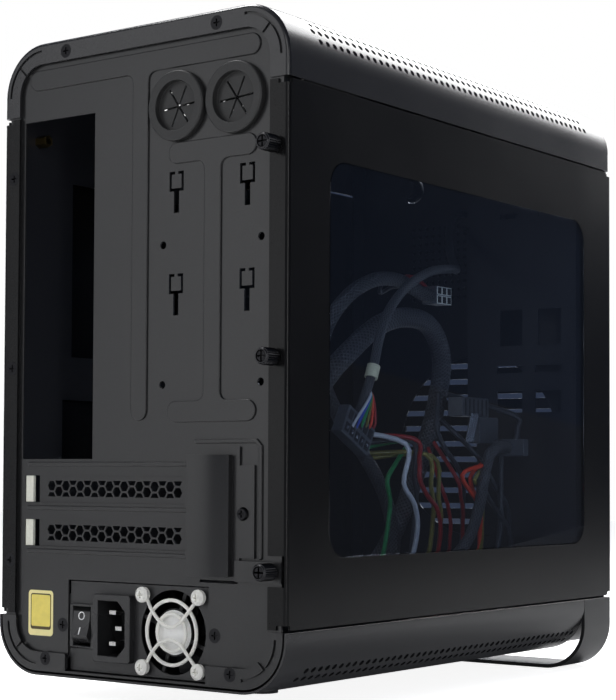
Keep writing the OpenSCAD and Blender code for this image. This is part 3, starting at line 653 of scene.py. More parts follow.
    @staticmethod
    def tube(name: str, points: Sequence[Vector], radius: float, sides: int = 12, steps: int = 6,
             closed: bool = False) -> tuple[Piece, list[Vector]]:
        """Makes a smooth tube along points, with a UV map that follows it.

        Args:
            name: The tube's name.
            points: Points in metres.
            radius: Its radius in metres.
            sides: Sides of its section.
            steps: Steps between two points.
            closed: Whether it ends where it starts.

        Returns:
            The tube and the points of its centreline.
        """
        line = smooth_line(points, steps, closed)
        mesh = bmesh.new()
        uv = mesh.loops.layers.uv.new("UVMap")
        rings, run, length = [], [], 0.0
        side = None
        count = len(line)
        for i, p in enumerate(line):
            after, before = ((i + 1) % count, i - 1) if closed else (min(i + 1, count - 1), max(i - 1, 0))
            ahead = (line[after] - line[before]).normalized()
            side = side or ahead.orthogonal().normalized()
            side = (side - ahead * side.dot(ahead)).normalized()
            across = ahead.cross(side)
            rings.append([mesh.verts.new(p + (side * math.cos(a) + across * math.sin(a)) * radius)
                          for a in (math.tau * k / sides for k in range(sides))])
            if i:
                length += (p - line[i - 1]).length
            run.append(length)
        pairs = [(i, i + 1) for i in range(count - 1)]
        if closed:
            pairs.append((count - 1, 0))
        for i, j in pairs:
            offset = 0
            if closed and j == 0:
                offset = min(range(sides), key=lambda k: (rings[j][k].co - rings[i][0].co).length)
            for k in range(sides):
                n = (k + 1) % sides
                face = mesh.faces.new((rings[i][k], rings[i][n], rings[j][(n + offset) % sides],
                                       rings[j][(k + offset) % sides]))
                far = run[j] if j else length
                for loop, (u, v) in zip(face.loops, ((k, run[i]), (k + 1, run[i]), (k + 1, far), (k, far))):
                    loop[uv].uv = (u / sides, v)
        if not closed:
            mesh.faces.new(list(reversed(rings[0])))
            mesh.faces.new(rings[-1])
        bmesh.ops.recalc_face_normals(mesh, faces=mesh.faces)
        data = bpy.data.meshes.new(name)
        mesh.to_mesh(data)
        mesh.free()
        return Bench.smooth(put_in(name, data), 50.0), line

    @staticmethod
    def join(name: str, pieces: Sequence[Piece]) -> Piece:
        """Joins pieces into one of that name."""
        Bench.take(*pieces)
        if len(pieces) > 1:
            bpy.ops.object.join()
        return Bench.settle(bpy.context.object, name)

    @staticmethod
    def subtract(piece: Piece, cutter: Piece) -> Piece:
        """Cuts one piece out of another, slowly where the quick way fails, and removes the cutter."""
        before = len(piece.data.polygons)
        kept = piece.data.copy()
        for solver in ("MANIFOLD", "EXACT"):
            Bench.modify(piece, "BOOLEAN", operation="DIFFERENCE", object=cutter, solver=solver)
            if len(piece.data.polygons) > before:
                break
            piece.data = kept
        log.info("  cut %s: %d faces to %d", piece.name, before, len(piece.data.polygons))
        bpy.data.objects.remove(cutter)
        return piece


def put_in(name: str, data: bpy.types.ID) -> Piece:
    """Makes an object of a mesh, a camera or a light, and links it to the scene."""
    made = bpy.data.objects.new(name, data)
    bpy.context.scene.collection.objects.link(made)
    return made


def smooth_line(points: Sequence[Vector], steps: int, closed: bool = False) -> list[Vector]:
    """A smooth line through points, with a number of steps between two of them.

    Args:
        points: The points.
        steps: Steps between two points.
        closed: Whether the line ends where it starts.

    Returns:
        The line's points.
    """
    pts = [Vector(p) for p in points]
    n = len(pts)
    if steps <= 1:
        return pts
    line = []
    for i in range(n if closed else n - 1):
        if closed:
            p0, p1, p2, p3 = pts[i - 1], pts[i], pts[(i + 1) % n], pts[(i + 2) % n]
        else:
            p0, p1, p2, p3 = pts[max(i - 1, 0)], pts[i], pts[i + 1], pts[min(i + 2, n - 1)]
        for s in range(steps):
            t = s / steps
            line.append(0.5 * ((2 * p1) + (p2 - p0) * t + (2 * p0 - 5 * p1 + 4 * p2 - p3) * t * t
                               + (3 * p1 - p0 - 3 * p2 + p3) * t ** 3))
    if not closed:
        line.append(pts[-1])
    return line


def install(piece: Piece, body: str, slot: Slot, finish: Finish, *nodes: str) -> Piece:
    """Gives a piece its finish and its body.

    Args:
        piece: The finished piece.
        body: The body that it rides on.
        slot: The record's material slot; not used.
        finish: The finish, unless the piece has its own.
        nodes: CAD nodes that it stands for.

    Returns:
        The piece.
    """
    if not any(piece.data.materials):
        piece.data.materials.clear()
        piece.data.materials.append(finish.material())
    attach(piece, body)
    if nodes:
        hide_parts(*nodes)
    log.info("%s: %d faces, on %s", piece.name, len(piece.data.polygons), body)
    return piece


@dataclass
class Studio:
    """The camera, the lights and the stage. The camera's place is in millimetres of the body's frame."""

    place: Point = (-532.06, 744.49, 93.12)
    turn: Point = (92.1522582, -0.25349015, -143.61252182)
    lens: float = 91.9017
    shift: tuple[float, float] = (0.00795365, 0.08220306)

    def camera(self) -> None:
        """Sets the camera to the photograph's viewing angle."""
        data = bpy.data.cameras.new("photo_camera")
        data.lens = self.lens
        data.sensor_width = 36.0
        data.shift_x, data.shift_y = self.shift
        data.clip_start = 0.01
        camera = put_in("photo_camera", data)
        camera.location = at(self.place)
        camera.rotation_euler = Euler([math.radians(a) for a in self.turn], "XYZ")
        bpy.context.scene.camera = camera

    def softbox(self, name: str, place: Point, target: Point, size: tuple[float, float],
                watts: float) -> None:
        """Adds one soft rectangular light.

        Args:
            name: The light's name.
            place: Its middle in metres.
            target: The point that it faces.
            size: Its width and height in metres.
            watts: Its power.
        """
        data = bpy.data.lights.new(name, "AREA")
        data.shape = "RECTANGLE"
        data.size, data.size_y = size
        data.energy = watts
        lamp = put_in(name, data)
        lamp.location = place
        aim = Vector(target) - Vector(place)
        lamp.rotation_euler = aim.to_track_quat("-Z", "Y").to_euler()

    def lights(self) -> None:
        """Places the soft lights."""
        middle = (0.0, 0.0, 0.15)
        self.softbox("back_softbox", (0.2, -1.5, 1.1), (0.2, 0.0, 1.1), (1.4, 1.3), 38.0)
        self.softbox("rib_strip", (0.55, 0.05, 1.3), (0.0, 0.14, 0.15), (0.7, 0.3), 13.0)
        self.softbox("rear_fill", (0.75, 1.5, 0.6), middle, (1.2, 1.2), 5.5)
        self.softbox("camera_fill", (-0.75, 1.5, 0.9), (-0.03, 0.0, 0.12), (0.7, 0.7), 3.2)
        self.softbox("window_edge_strip", (-1.35, 0.95, 0.2), middle, (0.14, 1.0), 4.5)
        self.softbox("far_edge_strip", (1.5, -0.6, 0.25), middle, (0.3, 1.0), 5.0)

    def card(self, name: str, place: Point, turn: float, size: tuple[float, float], glow: Colour) -> None:
        """Stands a dim upright card, which the window mirrors.

        Args:
            name: The card's name.
            place: The middle of its lower edge in metres.
            turn: Its heading in degrees.
            size: Its width and height in metres.
            glow: The light that it gives off.
        """
        Bench.clear()
        bpy.ops.mesh.primitive_plane_add(size=1.0, location=(place[0], place[1], place[2] + size[1] / 2),
                                         rotation=(math.pi / 2, 0.0, math.radians(turn)))
        bpy.context.object.scale = (size[0], size[1], 1.0)
        piece = Bench.settle(bpy.context.object, name)
        made, w = new_material(name)
        light = w.add("ShaderNodeEmission", in_Strength=1.0, in_Color=(*glow, 1.0))
        w.finish(light.outputs["Emission"])
        piece.data.materials.append(made)

    def surroundings(self) -> None:
        """Lays the pale floor and sets the world."""
        Bench.clear()
        bpy.ops.mesh.primitive_plane_add(size=6.0, location=(0.0, 0.0, 0.0))
        floor = Bench.settle(bpy.context.object, "studio_floor")
        made, w = new_material("floor_paper")
        shader = w.tree.nodes["Principled BSDF"]
        w.put(shader, Base_Color=(0.86, 0.86, 0.86, 1.0), Roughness=0.9, Specular_IOR_Level=0.1)
        path = w.add("ShaderNodeLightPath")
        glow = w.add("ShaderNodeEmission", in_Strength=0.9)
        both = w.add("ShaderNodeAddShader")
        mix = w.add("ShaderNodeMixShader")
        w.link(shader.outputs["BSDF"], both.inputs[0])
        w.link(glow.outputs["Emission"], both.inputs[1])
        w.link(path.outputs["Is Camera Ray"], mix.inputs["Fac"])
        w.link(shader.outputs["BSDF"], mix.inputs[1])
        w.link(both.outputs["Shader"], mix.inputs[2])
        w.finish(mix.outputs["Shader"])
        floor.data.materials.append(made)

        world = bpy.data.worlds.new("studio_world")
        world.use_nodes = True
        bpy.context.scene.world = world
        w = Wiring(world.node_tree)
        path = w.add("ShaderNodeLightPath")
        sky = w.blend(path.outputs["Is Camera Ray"], (0.038, 0.048, 0.075), (1.0, 1.0, 1.0))
        w.link(sky, world.node_tree.nodes["Background"].inputs["Color"])

    def build(self) -> None:
        """Sets the camera, the lights and the stage."""
        bpy.context.scene.view_settings.view_transform = "Standard"
        self.camera()
        self.lights()
        self.surroundings()
        self.card("window_card", (-0.96, -1.57, 0.0), 68.0, (2.6, 0.206), (0.05, 0.055, 0.07))


@dataclass(frozen=True)
class Wire:
    """One thin wire: its colour, its plane, its radius and its points as Y and Z in millimetres."""

    colour: str
    plane: float
    radius: float
    points: tuple[tuple[float, float], ...]


@dataclass(frozen=True)
class Cord:
    """One sleeved cable: the stem of its nodes' names, its diameter, its stiffness and its points."""

    stem: str
    diameter: float
    stiffness: str
    points: tuple[Point, ...]


@dataclass
class Cables:
    """The sleeved cables inside, on the routes of their CAD solids, and the loose wires on them."""

    cords: tuple[Cord, ...] = (
        Cord("main_power", 10.0, "stiff", (
            (16, -5, 26), (16, -24, 26), (12, -46, 36), (2, -61, 62), (-10, -65, 95), (-23, -62, 126),
            (-35, -50, 153), (-41, -29, 169), (-43, -5, 172), (-43, 19, 167), (-42, 40, 155), (-38, 60, 137),
            (-33, 78, 110), (-28, 86, 82), (-24, 80, 60), (-22, 67, 51.5), (-22, 54.2, 51))),
        Cord("board_power", 7.0, "medium", (
            (2, -5, 22), (2, -22, 22), (-4, -37, 32), (-12, -40, 56), (-15, -27, 82), (-17, -4, 104),
            (-20, 22, 122), (-25, 43, 142), (-32, 50, 162), (-38, 42, 178), (-41, 24, 188), (-41, 4, 190.5),
            (-41, -11, 188), (-41, -21, 185.6), (-41, -28.2, 185.4))),
        Cord("drive_power", 6.0, "medium", (
            (-12, -5, 20), (-12, -20, 20), (-18, -38, 26), (-30, -52, 40), (-44, -60, 58), (-51, -61, 76),
            (-53.5, -62, 92), (-54, -67, 104), (-54, -76, 108), (-54, -85.3, 108))),
        Cord("front_usb", 4.5, "medium", (
            (0, -133.8, 243), (0, -124, 242), (-2, -112, 234), (-14, -92, 216), (-34, -66, 203),
            (-50, -36, 199), (-57, -4, 194), (-60, 22, 184), (-61, 40, 170), (-62, 49, 156), (-62, 53, 144),
            (-62, 58.2, 133.5), (-62, 62.3, 126.5), (-62, 66, 119.8))),
    )
    wires: tuple[Wire, ...] = (
        Wire("green", -30, 1.2, ((-23.6, 110.7), (-16.2, 100.8), (-6.7, 90.6))),
        Wire("white", -42, 1.3, ((-5.2, 108.7), (-3.5, 89.2), (-13.6, 78.1))),
        Wire("grey", -36, 1.2, ((-18.6, 110.5), (-22.8, 99.5), (-21.9, 91.9))),
        Wire("red", -44, 1.2, ((-9.5, 111.5), (-14.8, 100.6), (-15.4, 90.8), (-22.4, 82.7), (-32.2, 75.0))),
        Wire("yellow", -40, 1.2, ((-27.0, 103.7), (-32.0, 87.3))),
        Wire("yellow", -40, 1.1, ((-33.1, 103.1), (-39.2, 82.4))),
        Wire("red", -34, 1.1, ((-50.4, 88.9), (-58.3, 76.3))),
        Wire("red", -36, 1.1, ((-63.2, 91.9), (-67.7, 82.2))),
        Wire("orange", -48, 1.2, ((-49.2, 93.2), (-65.4, 78.2))),
        Wire("orange", -46, 1.1, ((-60.7, 92.0), (-70.1, 76.9))),
        Wire("yellow", -50, 1.1, ((-58.5, 90.8), (-64.4, 86.6))),
        Wire("grey", -36, 1.3, ((-44.8, 115.2), (-67.7, 93.9))),
        Wire("grey", -44, 1.3, ((-70.7, 103.6), (-90.0, 87.1), (-102.3, 76.5))),
        Wire("grey", -46, 1.3, ((-75.7, 85.4), (-100.0, 64.8))),
        Wire("red", -36, 1.2, ((-14.1, 193.7), (-24.9, 193.3), (-34.4, 189.1), (-40.4, 184.0))),
        Wire("grey", -34, 1.0, ((6.5, 184.0), (-6.1, 188.1), (-22.7, 188.5), (-31.3, 185.6))),
        Wire("grey", -50, 1.6, ((-98.0, 126.1), (-103.0, 118.2), (-100.5, 110.0), (-91.9, 106.3),
                                (-83.4, 111.0))),
    )
    upper: float = 130.0  # height in millimetres above which a wire belongs to the upper plug
    lean: float = math.radians(29.0)  # of the front cable's plug

    def wire(self, spec: Wire, number: int, lines: Sequence[Vector]) -> Piece:
        """Lays one thin wire, which starts in the nearest sleeve and ends in a sleeve or runs down to the
        power supply.

        Args:
            spec: The wire.
            number: Its number, for its name.
            lines: The centrelines of the sleeved cables.

        Returns:
            The wire.
        """
        points = [at((spec.plane, y, z)) for y, z in spec.points]
        first_y, first_z = spec.points[0]
        above = at((spec.plane + 8, first_y + 8, first_z + (0 if first_z > self.upper else 16)))
        start = min(lines, key=lambda p: (p - above).length)
        last_y, last_z = spec.points[-1]
        if last_z > self.upper:
            tail = [min(lines, key=lambda p: (p - points[-1]).length)]
        else:
            tail = [at((spec.plane + 3, last_y - 7, last_z - 14)), at((spec.plane + 10, last_y - 8, 44)),
                    at((spec.plane + 26, -26, 31)), at((10 + number % 5, -6, 24 + number % 3))]
        return Bench.tube(f"{spec.colour}_wire_{number}", [start, *points, *tail], spec.radius * MM,
                          sides=8, steps=5)[0]

    def loose_wires(self, lines: Sequence[Vector]) -> list[Piece]:
        """Lays the thin wires and joins those of one colour."""
        pieces = []
        for colour in sorted({spec.colour for spec in self.wires}):
            laid = [self.wire(spec, i, lines) for i, spec in enumerate(self.wires) if spec.colour == colour]
            bunch = Bench.join(f"{colour}_wires", laid)
            pieces.append(install(bunch, "root", Slot.SLEEVE, WIRE_SKINS[colour]))
        return pieces

    def header_plug(self) -> list[Piece]:
        """The small plug of the front cable: its shrink sleeve, its ribbon of wires and its contacts."""
        shrink, _ = Bench.tube("shrink_sleeve", [at((-62, 52.9, 144.2)), at((-62, 55.4, 138.4))], 0.0032,
                               sides=16, steps=1)
        pieces = [install(shrink, "root", Slot.SLEEVE, Paint.SHRINK)]
        for i, colour in enumerate(("red", "orange", "yellow", "green", "blue", "white")):
            foot = 56.5 + 3.3 * i
            points = [at((-63.5, 57.6, 131.5)), at((-65.0, 57.4 + 0.9 * i, 127.6)), at((-65.4, foot, 117.6)),
                      at((-64.0, foot + 1.2, 114.0))]
            piece, _ = Bench.tube(f"ribbon_{colour}", points, 0.0007, sides=8, steps=5)
            pieces.append(install(piece, "root", Slot.SLEEVE, WIRE_SKINS[colour]))
        lean = Matrix.Rotation(self.lean, 3, "X")
        # The wells are dark pads of painted shade where the plug's holes are.
        for name, finish, size, proud, rows in (("plug_wells", Paint.HOLE_SHADE, (0.3, 3.0, 4.4), 0.0, (0, 1)),
                                                ("plug_contacts", Paint.CONTACT, (0.3, 1.2, 1.8), 0.2, (0,))):
            cells = []
            for row in rows:
                for column in range(5):
                    spot = Vector((-65.1 - proud, 69.5, 113.5)) + lean @ Vector(
                        (0.0, -8.8 + 4.4 * column, -3.2 + 6.4 * row))
                    cells.append(Bench.bar(f"{name}_{row}_{column}", size, at(spot), turn=(self.lean, 0, 0)))
            pieces.append(install(Bench.join(name, cells), "root", Slot.GREY, finish))
        return pieces

    def board_plug(self) -> list[Piece]:
        """The cells on the face of the board connector."""
        pieces = []
        # The wells are dark squares of painted shade inside the pale rims.
        for name, finish, depth, size in (("cell_rims", Paint.PALE, 0.3, 4.2),
                                          ("cell_wells", Paint.HOLE_SHADE, 0.4, 3.3)):
            cells = [Bench.bar(f"{name}_{row}_{column}", (depth, size, size),
                               at((-45.6, -30.8 - 4.6 * column, 187.6 - 4.6 * row)))
                     for row in (0, 1) for column in range(3)]
            pieces.append(install(Bench.join(name, cells), "root", Slot.GREY, finish))
        return pieces

    def spare_plugs(self) -> list[Piece]:
        """The spare plugs that hang by the main cable, seen low in the window."""
        pins = [Bench.rod(f"plug_pin_{i}", 0.7, 16.0, at((-46.6, -58.5 - 2.0 * i, 118.0)), (21, 0, 0), 10)
                for i in range(4)]
        # The grooves are dark strips of painted shade.
        grooves = [Bench.bar(f"plug_groove_{i}", (0.3, 0.9, 8.4), at((-46.05, -56 - 4.2 * i, 129)))
                   for i in range(6)]
        made = (
            (Bench.bar("spare_plug_long", (9, 27, 10), at((-41.5, -66.5, 129)), 0.6), Paint.CONNECTOR),
            (Bench.bar("spare_plug_flat", (6, 20, 14), at((-43, -80, 117)), 0.6), Paint.CONNECTOR),
            (Bench.join("plug_pins", pins), Paint.CONTACT),
            (Bench.join("plug_grooves", grooves), Paint.HOLE_SHADE),
        )
        return [install(piece, "root", Slot.GREY, finish) for piece, finish in made]

    def build(self) -> None:
        """Builds the four cables with their sleeves, connectors and loose wires."""
        laid = []
        for cord in self.cords:
            cable, connector = cord.stem + "_cable", cord.stem + "_connector"
            piece, line = Bench.tube(cable + "_sleeve", [at(p) for p in cord.points], cord.diameter * MM / 2,
                                     sides=20, steps=8)
            install(piece, "root", Slot.SLEEVE, Paint.MESH, cable)
            block = Bench.soften(Bench.copy_node(connector, connector + "_block"), 0.5)
            laid.append((cord, piece, line, [install(block, "root", Slot.GREY, Paint.CONNECTOR, connector)]))
        lines = [spot for _, _, line, _ in laid for spot in line]
        main, board, _, usb = (parts for *_, parts in laid)
        main.extend(self.spare_plugs())
        main.extend(self.loose_wires(lines))
        board.extend(self.board_plug())
        usb.extend(self.header_plug())


@dataclass
class Shell:
    """The steel panels, covers and feet. Sizes are in millimetres, and the curve's two radii in metres."""

    side: float = 84.5
    rib_top: float = 141.4
    rib_edge: float = 0.5
    cover_edge: float = 0.4
    panel_edge: float = 0.45
    hole_pitch: float = 5.2
    hole_radius: float = 1.5
    corner: float = 60.5
    radius: float = 24.0
    curve: tuple[float, float] = (0.0222, 0.0246)
    shoulder_top: float = 271.0
    shoulder_low: float = 24.0

    def finish(self, piece: Piece, finish: Finish, slot: Slot = Slot.STEEL, body: str = "root",
               width: float = 0.0) -> Piece:
        """Smooths a sheet-metal copy and gives it its finish.

        Args:
            piece: The copy.
            finish: Its finish.
            slot: Its material slot.
            body: Its body.
            width: Width of its broken edges in millimetres.

        Returns:
            The finished piece.
        """
        Bench.soften(piece, width, angle=40.0)
        return install(piece, body, slot, finish, piece.name.removesuffix("_piece"))

    def rows(self, name: str, axis_z: float, angles: Sequence[float], first: float,
             last: float) -> Piece:
        """Makes the punches for rows of round holes along both curved shoulders of a cover.

        Args:
            name: The punches' name.
            axis_z: Height of the shoulders' axes in the body's frame, in millimetres.
            angles: The rows' angles above the horizontal, in degrees.
            first: Y of the first hole.
            last: Y of the last hole.

        Returns:
            The joined punches.
        """
        punches = []
        count = int((last - first) / self.hole_pitch)
        for side in (-1, 1):
            for i, angle in enumerate(angles):
                a = math.radians(angle)
                away = Vector((side * math.cos(a), 0.0, math.sin(a)))
                axis = Vector((side * self.corner, first + (i % 2) * self.hole_pitch / 2, axis_z))
                turn = (0, side * (90 - angle), 0)
                place = at(axis + away * self.radius)
                punch = Bench.rod(f"punch_{side}_{i}", self.hole_radius, 6.0, place, turn, 12)
                Bench.modify(punch, "ARRAY", count=count, use_relative_offset=False, use_constant_offset=True,
                             constant_offset_displace=(0.0, self.hole_pitch * MM, 0.0))
                punches.append(punch)
        return Bench.join(name, punches)

    def cover(self, node: str, axis_z: float, angles: Sequence[float], first: float, last: float) -> None:
        """Builds one curved cover with its rows of holes and its light-catching edges.

        Args:
            node: The CAD node.
            axis_z: Height of the shoulders' axes in the body's frame.
            angles: The rows' angles above the horizontal.
            first: Y of the first hole.
            last: Y of the last hole.
        """
        piece = Bench.copy_node(node)
        Bench.break_edges(piece, lambda e: min(abs(v.co.x) for v in e.verts) > (self.side - 0.6) * MM
                          and abs(e.verts[0].co.z - e.verts[1].co.z) < HAIR, self.cover_edge, 3)
        Bench.subtract(piece, self.rows(node + "_punches", axis_z, angles, first, last))
        self.finish(piece, Paint.COVER)
        axes = [(side * self.corner * MM, (axis_z + BODY_ORIGIN.z) * MM) for side in (-1, 1)]
        Bench.round_normals(piece, axes, *self.curve)

    def side_panel(self, node: str, body: str) -> None:
        """Builds one side panel, whose outline catches the light."""
        piece = Bench.copy_node(node)
        face = (self.side - 0.05) * MM
        Bench.break_edges(piece, lambda e: min(abs(v.co.x) for v in e.verts) > face, self.panel_edge, 3)
        self.finish(piece, Paint.SIDE, body=body)

    def rear(self) -> None:
        """Builds the pressed rear wall, with rounded shoulders on its ribs."""
        piece = Bench.copy_node("rear_panel")
        Bench.break_edges(piece, lambda e: all(abs(v.co.y - self.rib_top * MM) < 3 * HAIR for v in e.verts),
                          self.rib_edge, 3, clamp=False)
        self.finish(piece, Paint.REAR)

    def build(self) -> None:
        """Builds every steel piece."""
        self.rear()
        self.cover("top_cover", self.shoulder_top, [23.0 + 12.4 * i for i in range(6)], -122.0, 131.0)
        self.cover("bottom_cover", self.shoulder_low, [-37.0, -49.4], -112.0, 134.0)
        self.side_panel("window_side_panel", "window_panel")
        self.side_panel("solid_side_panel", "solid_panel")
        self.finish(Bench.copy_node("bottom_pan"), Paint.REAR)
        self.finish(Bench.copy_node("front_frame"), Paint.INNER)
        bezel = Bench.soften(Bench.copy_node("front_bezel"), 0.6, 3, 40.0)
        bezel.data.materials.append(Paint.COVER.material())
        bezel.data.materials.append(Paint.DEEP.material())
        for face in bezel.data.polygons:
            face.material_index = 1 if face.normal.y > 0.5 else 0
        install(bezel, "root", Slot.STEEL, Paint.COVER, "front_bezel")
        for node, finish, slot, width in (("front_foot", Paint.REAR, Slot.STEEL, 0.35),
                                          ("rear_pads", Paint.RUBBER, Slot.RUBBER, 0.0),
                                          ("motherboard_tray", Paint.INNER, Slot.STEEL, 0.0),
                                          ("drive_cage", Paint.INNER, Slot.STEEL, 0.0),
                                          ("slot_cover_upper", Paint.REAR, Slot.STEEL, 0.2),
                                          ("slot_cover_lower", Paint.REAR, Slot.STEEL, 0.2),
                                          ("slot_clamp", Paint.REAR, Slot.STEEL, 0.2)):
            self.finish(Bench.copy_node(node), finish, slot, width=width)


@dataclass
class Supply:
    """The power supply's rear: its wire guard, its fan, its inlet and its switch, in millimetres."""

    fan: tuple[float, float] = (-20.25, 23.75)
    hub: float = 144.3
    wire: float = 0.85
    pitch: float = 16.0
    ring_plane: float = 146.1
    eye_plane: float = 146.3
    bend_plane: float = 147.3
    outer: float = 14.2
    inner: float = 8.2
    eye: float = 2.7
    rocker_x: float = 33.3
    rocker_axis: float = 141.0
    rocker_tilt: float = math.radians(12.0)
    hollow: float = 28.0
    hollow_middle: float = 34.0

    def spot(self, x: float, y: float, z: float) -> Vector:
        """A point of the guard from its middle, in metres."""
        return at((self.fan[0] + x, y, self.fan[1] + z))

    def ring(self, name: str, radius: float, y: float, x: float = 0.0, z: float = 0.0, count: int = 24,
             wire: float | None = None) -> Piece:
        """One closed ring of wire about a point of the guard.

        Args:
            name: The ring's name.
            radius: Its radius in millimetres.
            y: Its depth in the body's frame.
            x: Its middle from the guard's middle.
            z: Its middle from the guard's middle.
            count: Points round it.
            wire: The wire's radius in millimetres.

        Returns:
            The ring.
        """
        points = [self.spot(x + radius * math.cos(a), y, z + radius * math.sin(a))
                  for a in (math.tau * k / count for k in range(count))]
        return Bench.tube(name, points, (wire or self.wire) * MM, sides=10, steps=2, closed=True)[0]

    def guard(self) -> None:
        """Bends the guard: two rings, four eyes and two bent wires that carry the rings."""
        pieces = [self.ring("guard_outer", self.outer, self.ring_plane),
                  self.ring("guard_inner", self.inner, self.ring_plane, count=18)]
        for sx in (-1, 1):
            for sz in (-1, 1):
                pieces.append(self.ring(f"guard_eye_{sx}_{sz}", self.eye, self.eye_plane, sx * self.pitch,
                                        sz * self.pitch, count=10, wire=0.75))
        for sz, tip in ((1, 2.6), (-1, 3.2)):
            bend = [(13.9, 14.0), (10.6, 9.6), (6.4, 5.2), (3.8, tip + 0.9), (1.7, tip), (0.0, tip - 0.1)]
            path = bend + [(-x, z) for x, z in reversed(bend[:-1])]
            points = [self.spot(x, self.bend_plane - (0.9 if abs(x) > 12 else 0.0), sz * z) for x, z in path]
            pieces.append(Bench.tube(f"guard_bend_{sz}", points, 0.8 * MM, sides=10, steps=5)[0])
        # The guard's near-white finish paints the plated wire's reflections into its colour.
        install(Bench.join("fan_guard_wires", pieces), "root", Slot.NICKEL, Paint.NICKEL, "fan_guard")

    def rocker_marks(self) -> None:
        """Prints the ring and the stroke on the rocker's hollow face."""
        rise, run = math.sin(self.rocker_tilt), math.cos(self.rocker_tilt)
        for name, along in (("off_mark", 3.5), ("on_mark", -3.5)):
            out = self.hollow_middle - math.sqrt(self.hollow ** 2 - along ** 2)
            lean = math.atan2(-along, self.hollow_middle - out) + self.rocker_tilt - math.pi / 2
            place = at((self.rocker_x, self.rocker_axis + out * run - along * rise,
                        self.fan[1] + out * rise + along * run))
            if name == "on_mark":
                piece = Bench.bar(name, (0.55, 3.4, 0.3), place, turn=(lean, 0.0, 0.0))
            else:
                Bench.clear()
                bpy.ops.mesh.primitive_torus_add(major_radius=1.7 * MM, minor_radius=0.26 * MM,
                                                 major_segments=28, minor_segments=8, location=place,
                                                 rotation=(lean, 0.0, 0.0))
                piece = Bench.smooth(Bench.settle(bpy.context.object, name))
            install(piece, "rocker", Slot.PALE, Paint.MARK)

    def badge(self) -> None:
        """Lays the blank gold label on the rear wall, in its border, line and field."""
        layers = (("label_border", 59.5, 28.5, 15.8, 21.0, 0.10, 1.8, Paint.GOLD_EDGE),
                  ("label_line", 59.4, 29.2, 13.0, 16.6, 0.14, 1.2, Paint.GOLD_DARK),
                  ("label_field", 59.4, 29.6, 12.0, 14.6, 0.18, 0.9, Paint.GOLD))
        for name, x, z, width, height, proud, corner, finish in layers:
            piece = Bench.bar(name, (width, 2 * proud, height), at((x, 146.0, z)))
            Bench.edit(piece, "EDGE")
            Bench.pick(piece, lambda e: abs(e.verts[0].co.y - e.verts[1].co.y) > HAIR, "edges")
            bpy.ops.mesh.bevel(offset=corner * MM, segments=5, affect="EDGES")
            Bench.done()
            Bench.smooth(piece)
            install(piece, "root", Slot.PALE, finish)

    def build(self) -> None:
        """Builds the power supply's pieces."""
        self.guard()
        self.rocker_marks()
        self.badge()
        hub = Bench.rod("fan_hub_label", 9.8, 0.24, self.spot(0.0, self.hub, 0.0), (90, 0, 0), 48)
        install(hub, "root", Slot.PALE, Paint.LABEL)
        for node in ("power_inlet", "switch_frame"):
            piece = Bench.copy_node(node)
            front = max(v.co.y for v in piece.data.vertices)
            Bench.break_edges(piece, lambda e: min(v.co.y for v in e.verts) > front - 2 * HAIR, 0.45, 3)
            Bench.soften(piece, 0.0)
            install(piece, "root", Slot.PLASTIC, Paint.GLOSSY, node)


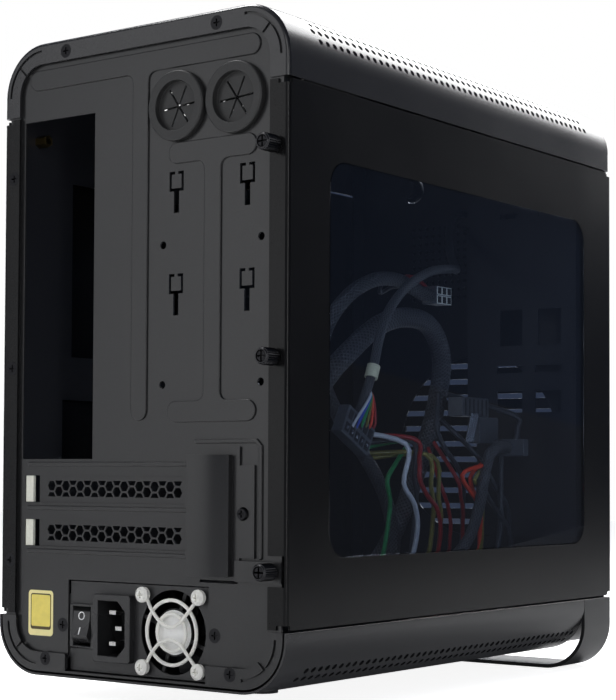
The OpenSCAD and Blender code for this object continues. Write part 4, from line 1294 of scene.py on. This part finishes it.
@dataclass
class SmallParts:
    """Everything that is fixed to the shell and the power supply. The shank's sizes are in metres."""

    shank: float = 0.0022
    shank_end: float = 0.0092
    shank_room: float = 0.93

    def part(self, node: str, slot: Slot, finish: Finish, body: str = "root", width: float = 0.2) -> None:
        """Copies one small node with broken edges.

        Args:
            node: The CAD node.
            slot: Its material slot.
            finish: Its finish.
            body: Its body.
            width: Width of its broken edges in millimetres.
        """
        install(Bench.soften(Bench.copy_node(node), width), body, slot, finish, node)

    def core(self, node: str, body: str) -> None:
        """Copies a thumbscrew's cross-tip screw, whose shank clears the facets of its holes as it turns."""
        piece = Bench.copy_node(node)
        spots = [v.co for v in piece.data.vertices]
        middle = Vector([(min(p[i] for p in spots) + max(p[i] for p in spots)) / 2 for i in range(3)])
        end = min(p.y for p in spots) + self.shank_end
        Bench.edit(piece, "VERT")
        Bench.pick(piece, lambda v: v.co.y < end and (v.co - middle).xz.length < self.shank, "verts")
        bpy.ops.transform.resize(value=(self.shank_room, 1.0, self.shank_room), center_override=middle)
        Bench.done()
        install(Bench.soften(piece, 0.12), body, Slot.SCREW, Paint.SCREW, node)

    def build(self) -> None:
        """Builds the small parts."""
        for node, slot, finish in (("board_standoffs", Slot.BRASS, Paint.BRASS),
                                   ("inlet_blades", Slot.NICKEL, Paint.BLADE),
                                   ("psu_fan_frame", Slot.PLASTIC, Paint.DEEP),
                                   ("fan_guard_screws", Slot.NICKEL, Paint.NICKEL),
                                   ("psu_screws", Slot.SCREW, Paint.SCREW),
                                   ("slot_end_pads", Slot.PALE, Paint.PALE),
                                   ("slot_clamp_screw", Slot.SCREW, Paint.SCREW),
                                   ("cover_screws", Slot.SCREW, Paint.SCREW),
                                   ("front_port_block", Slot.PLASTIC, Paint.MOULDED)):
            self.part(node, slot, finish)
        self.part("psu_housing", Slot.STEEL, Paint.SUPPLY, width=0.0)
        self.part("cable_grommets", Slot.RUBBER, Paint.RUBBER, width=0.3)
        self.part("switch_rocker", Slot.PLASTIC, Paint.GLOSSY, "rocker", 0.35)
        self.part("psu_fan_rotor", Slot.PLASTIC, Paint.DEEP, "fan_rotor")
        self.part("side_panel_screws", Slot.SCREW, Paint.SCREW, "solid_panel")
        self.part("power_button", Slot.BUTTON, Paint.THUMB, "button")
        for place in ("upper", "middle", "lower"):
            self.part(f"thumbscrew_{place}", Slot.SCREW, Paint.THUMB, f"{place}_thumbscrew", 0.12)
            self.core(f"thumbscrew_core_{place}", f"{place}_thumbscrew")


@dataclass
class Window:
    """The acrylic window in the side panel's opening. Its sizes are in millimetres of the shared frame."""

    chamfer: float = 0.9
    face: float = 84.45
    top: float = 240.4

    def build(self) -> None:
        """Copies the acrylic, with a polished chamfer at its sides and its bottom."""
        piece = Bench.copy_node("side_window", "side_window_acrylic")
        Bench.break_edges(piece, lambda e: max(v.co.x for v in e.verts) < -self.face * MM
                          and sum(v.co.z for v in e.verts) / 2 < self.top * MM, self.chamfer, 1)
        Bench.smooth(piece, 25.0)
        install(piece, "window_panel", Slot.ACRYLIC, Paint.ACRYLIC, "side_window")


def main() -> None:
    """Builds the studio and the case."""
    logging.basicConfig(level=logging.INFO, format="%(name)s: %(message)s")
    Studio().build()
    for assembly in (Cables(), Shell(), Window(), Supply(), SmallParts()):
        assembly.build()
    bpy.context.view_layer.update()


if __name__ == "__main__":
    main()
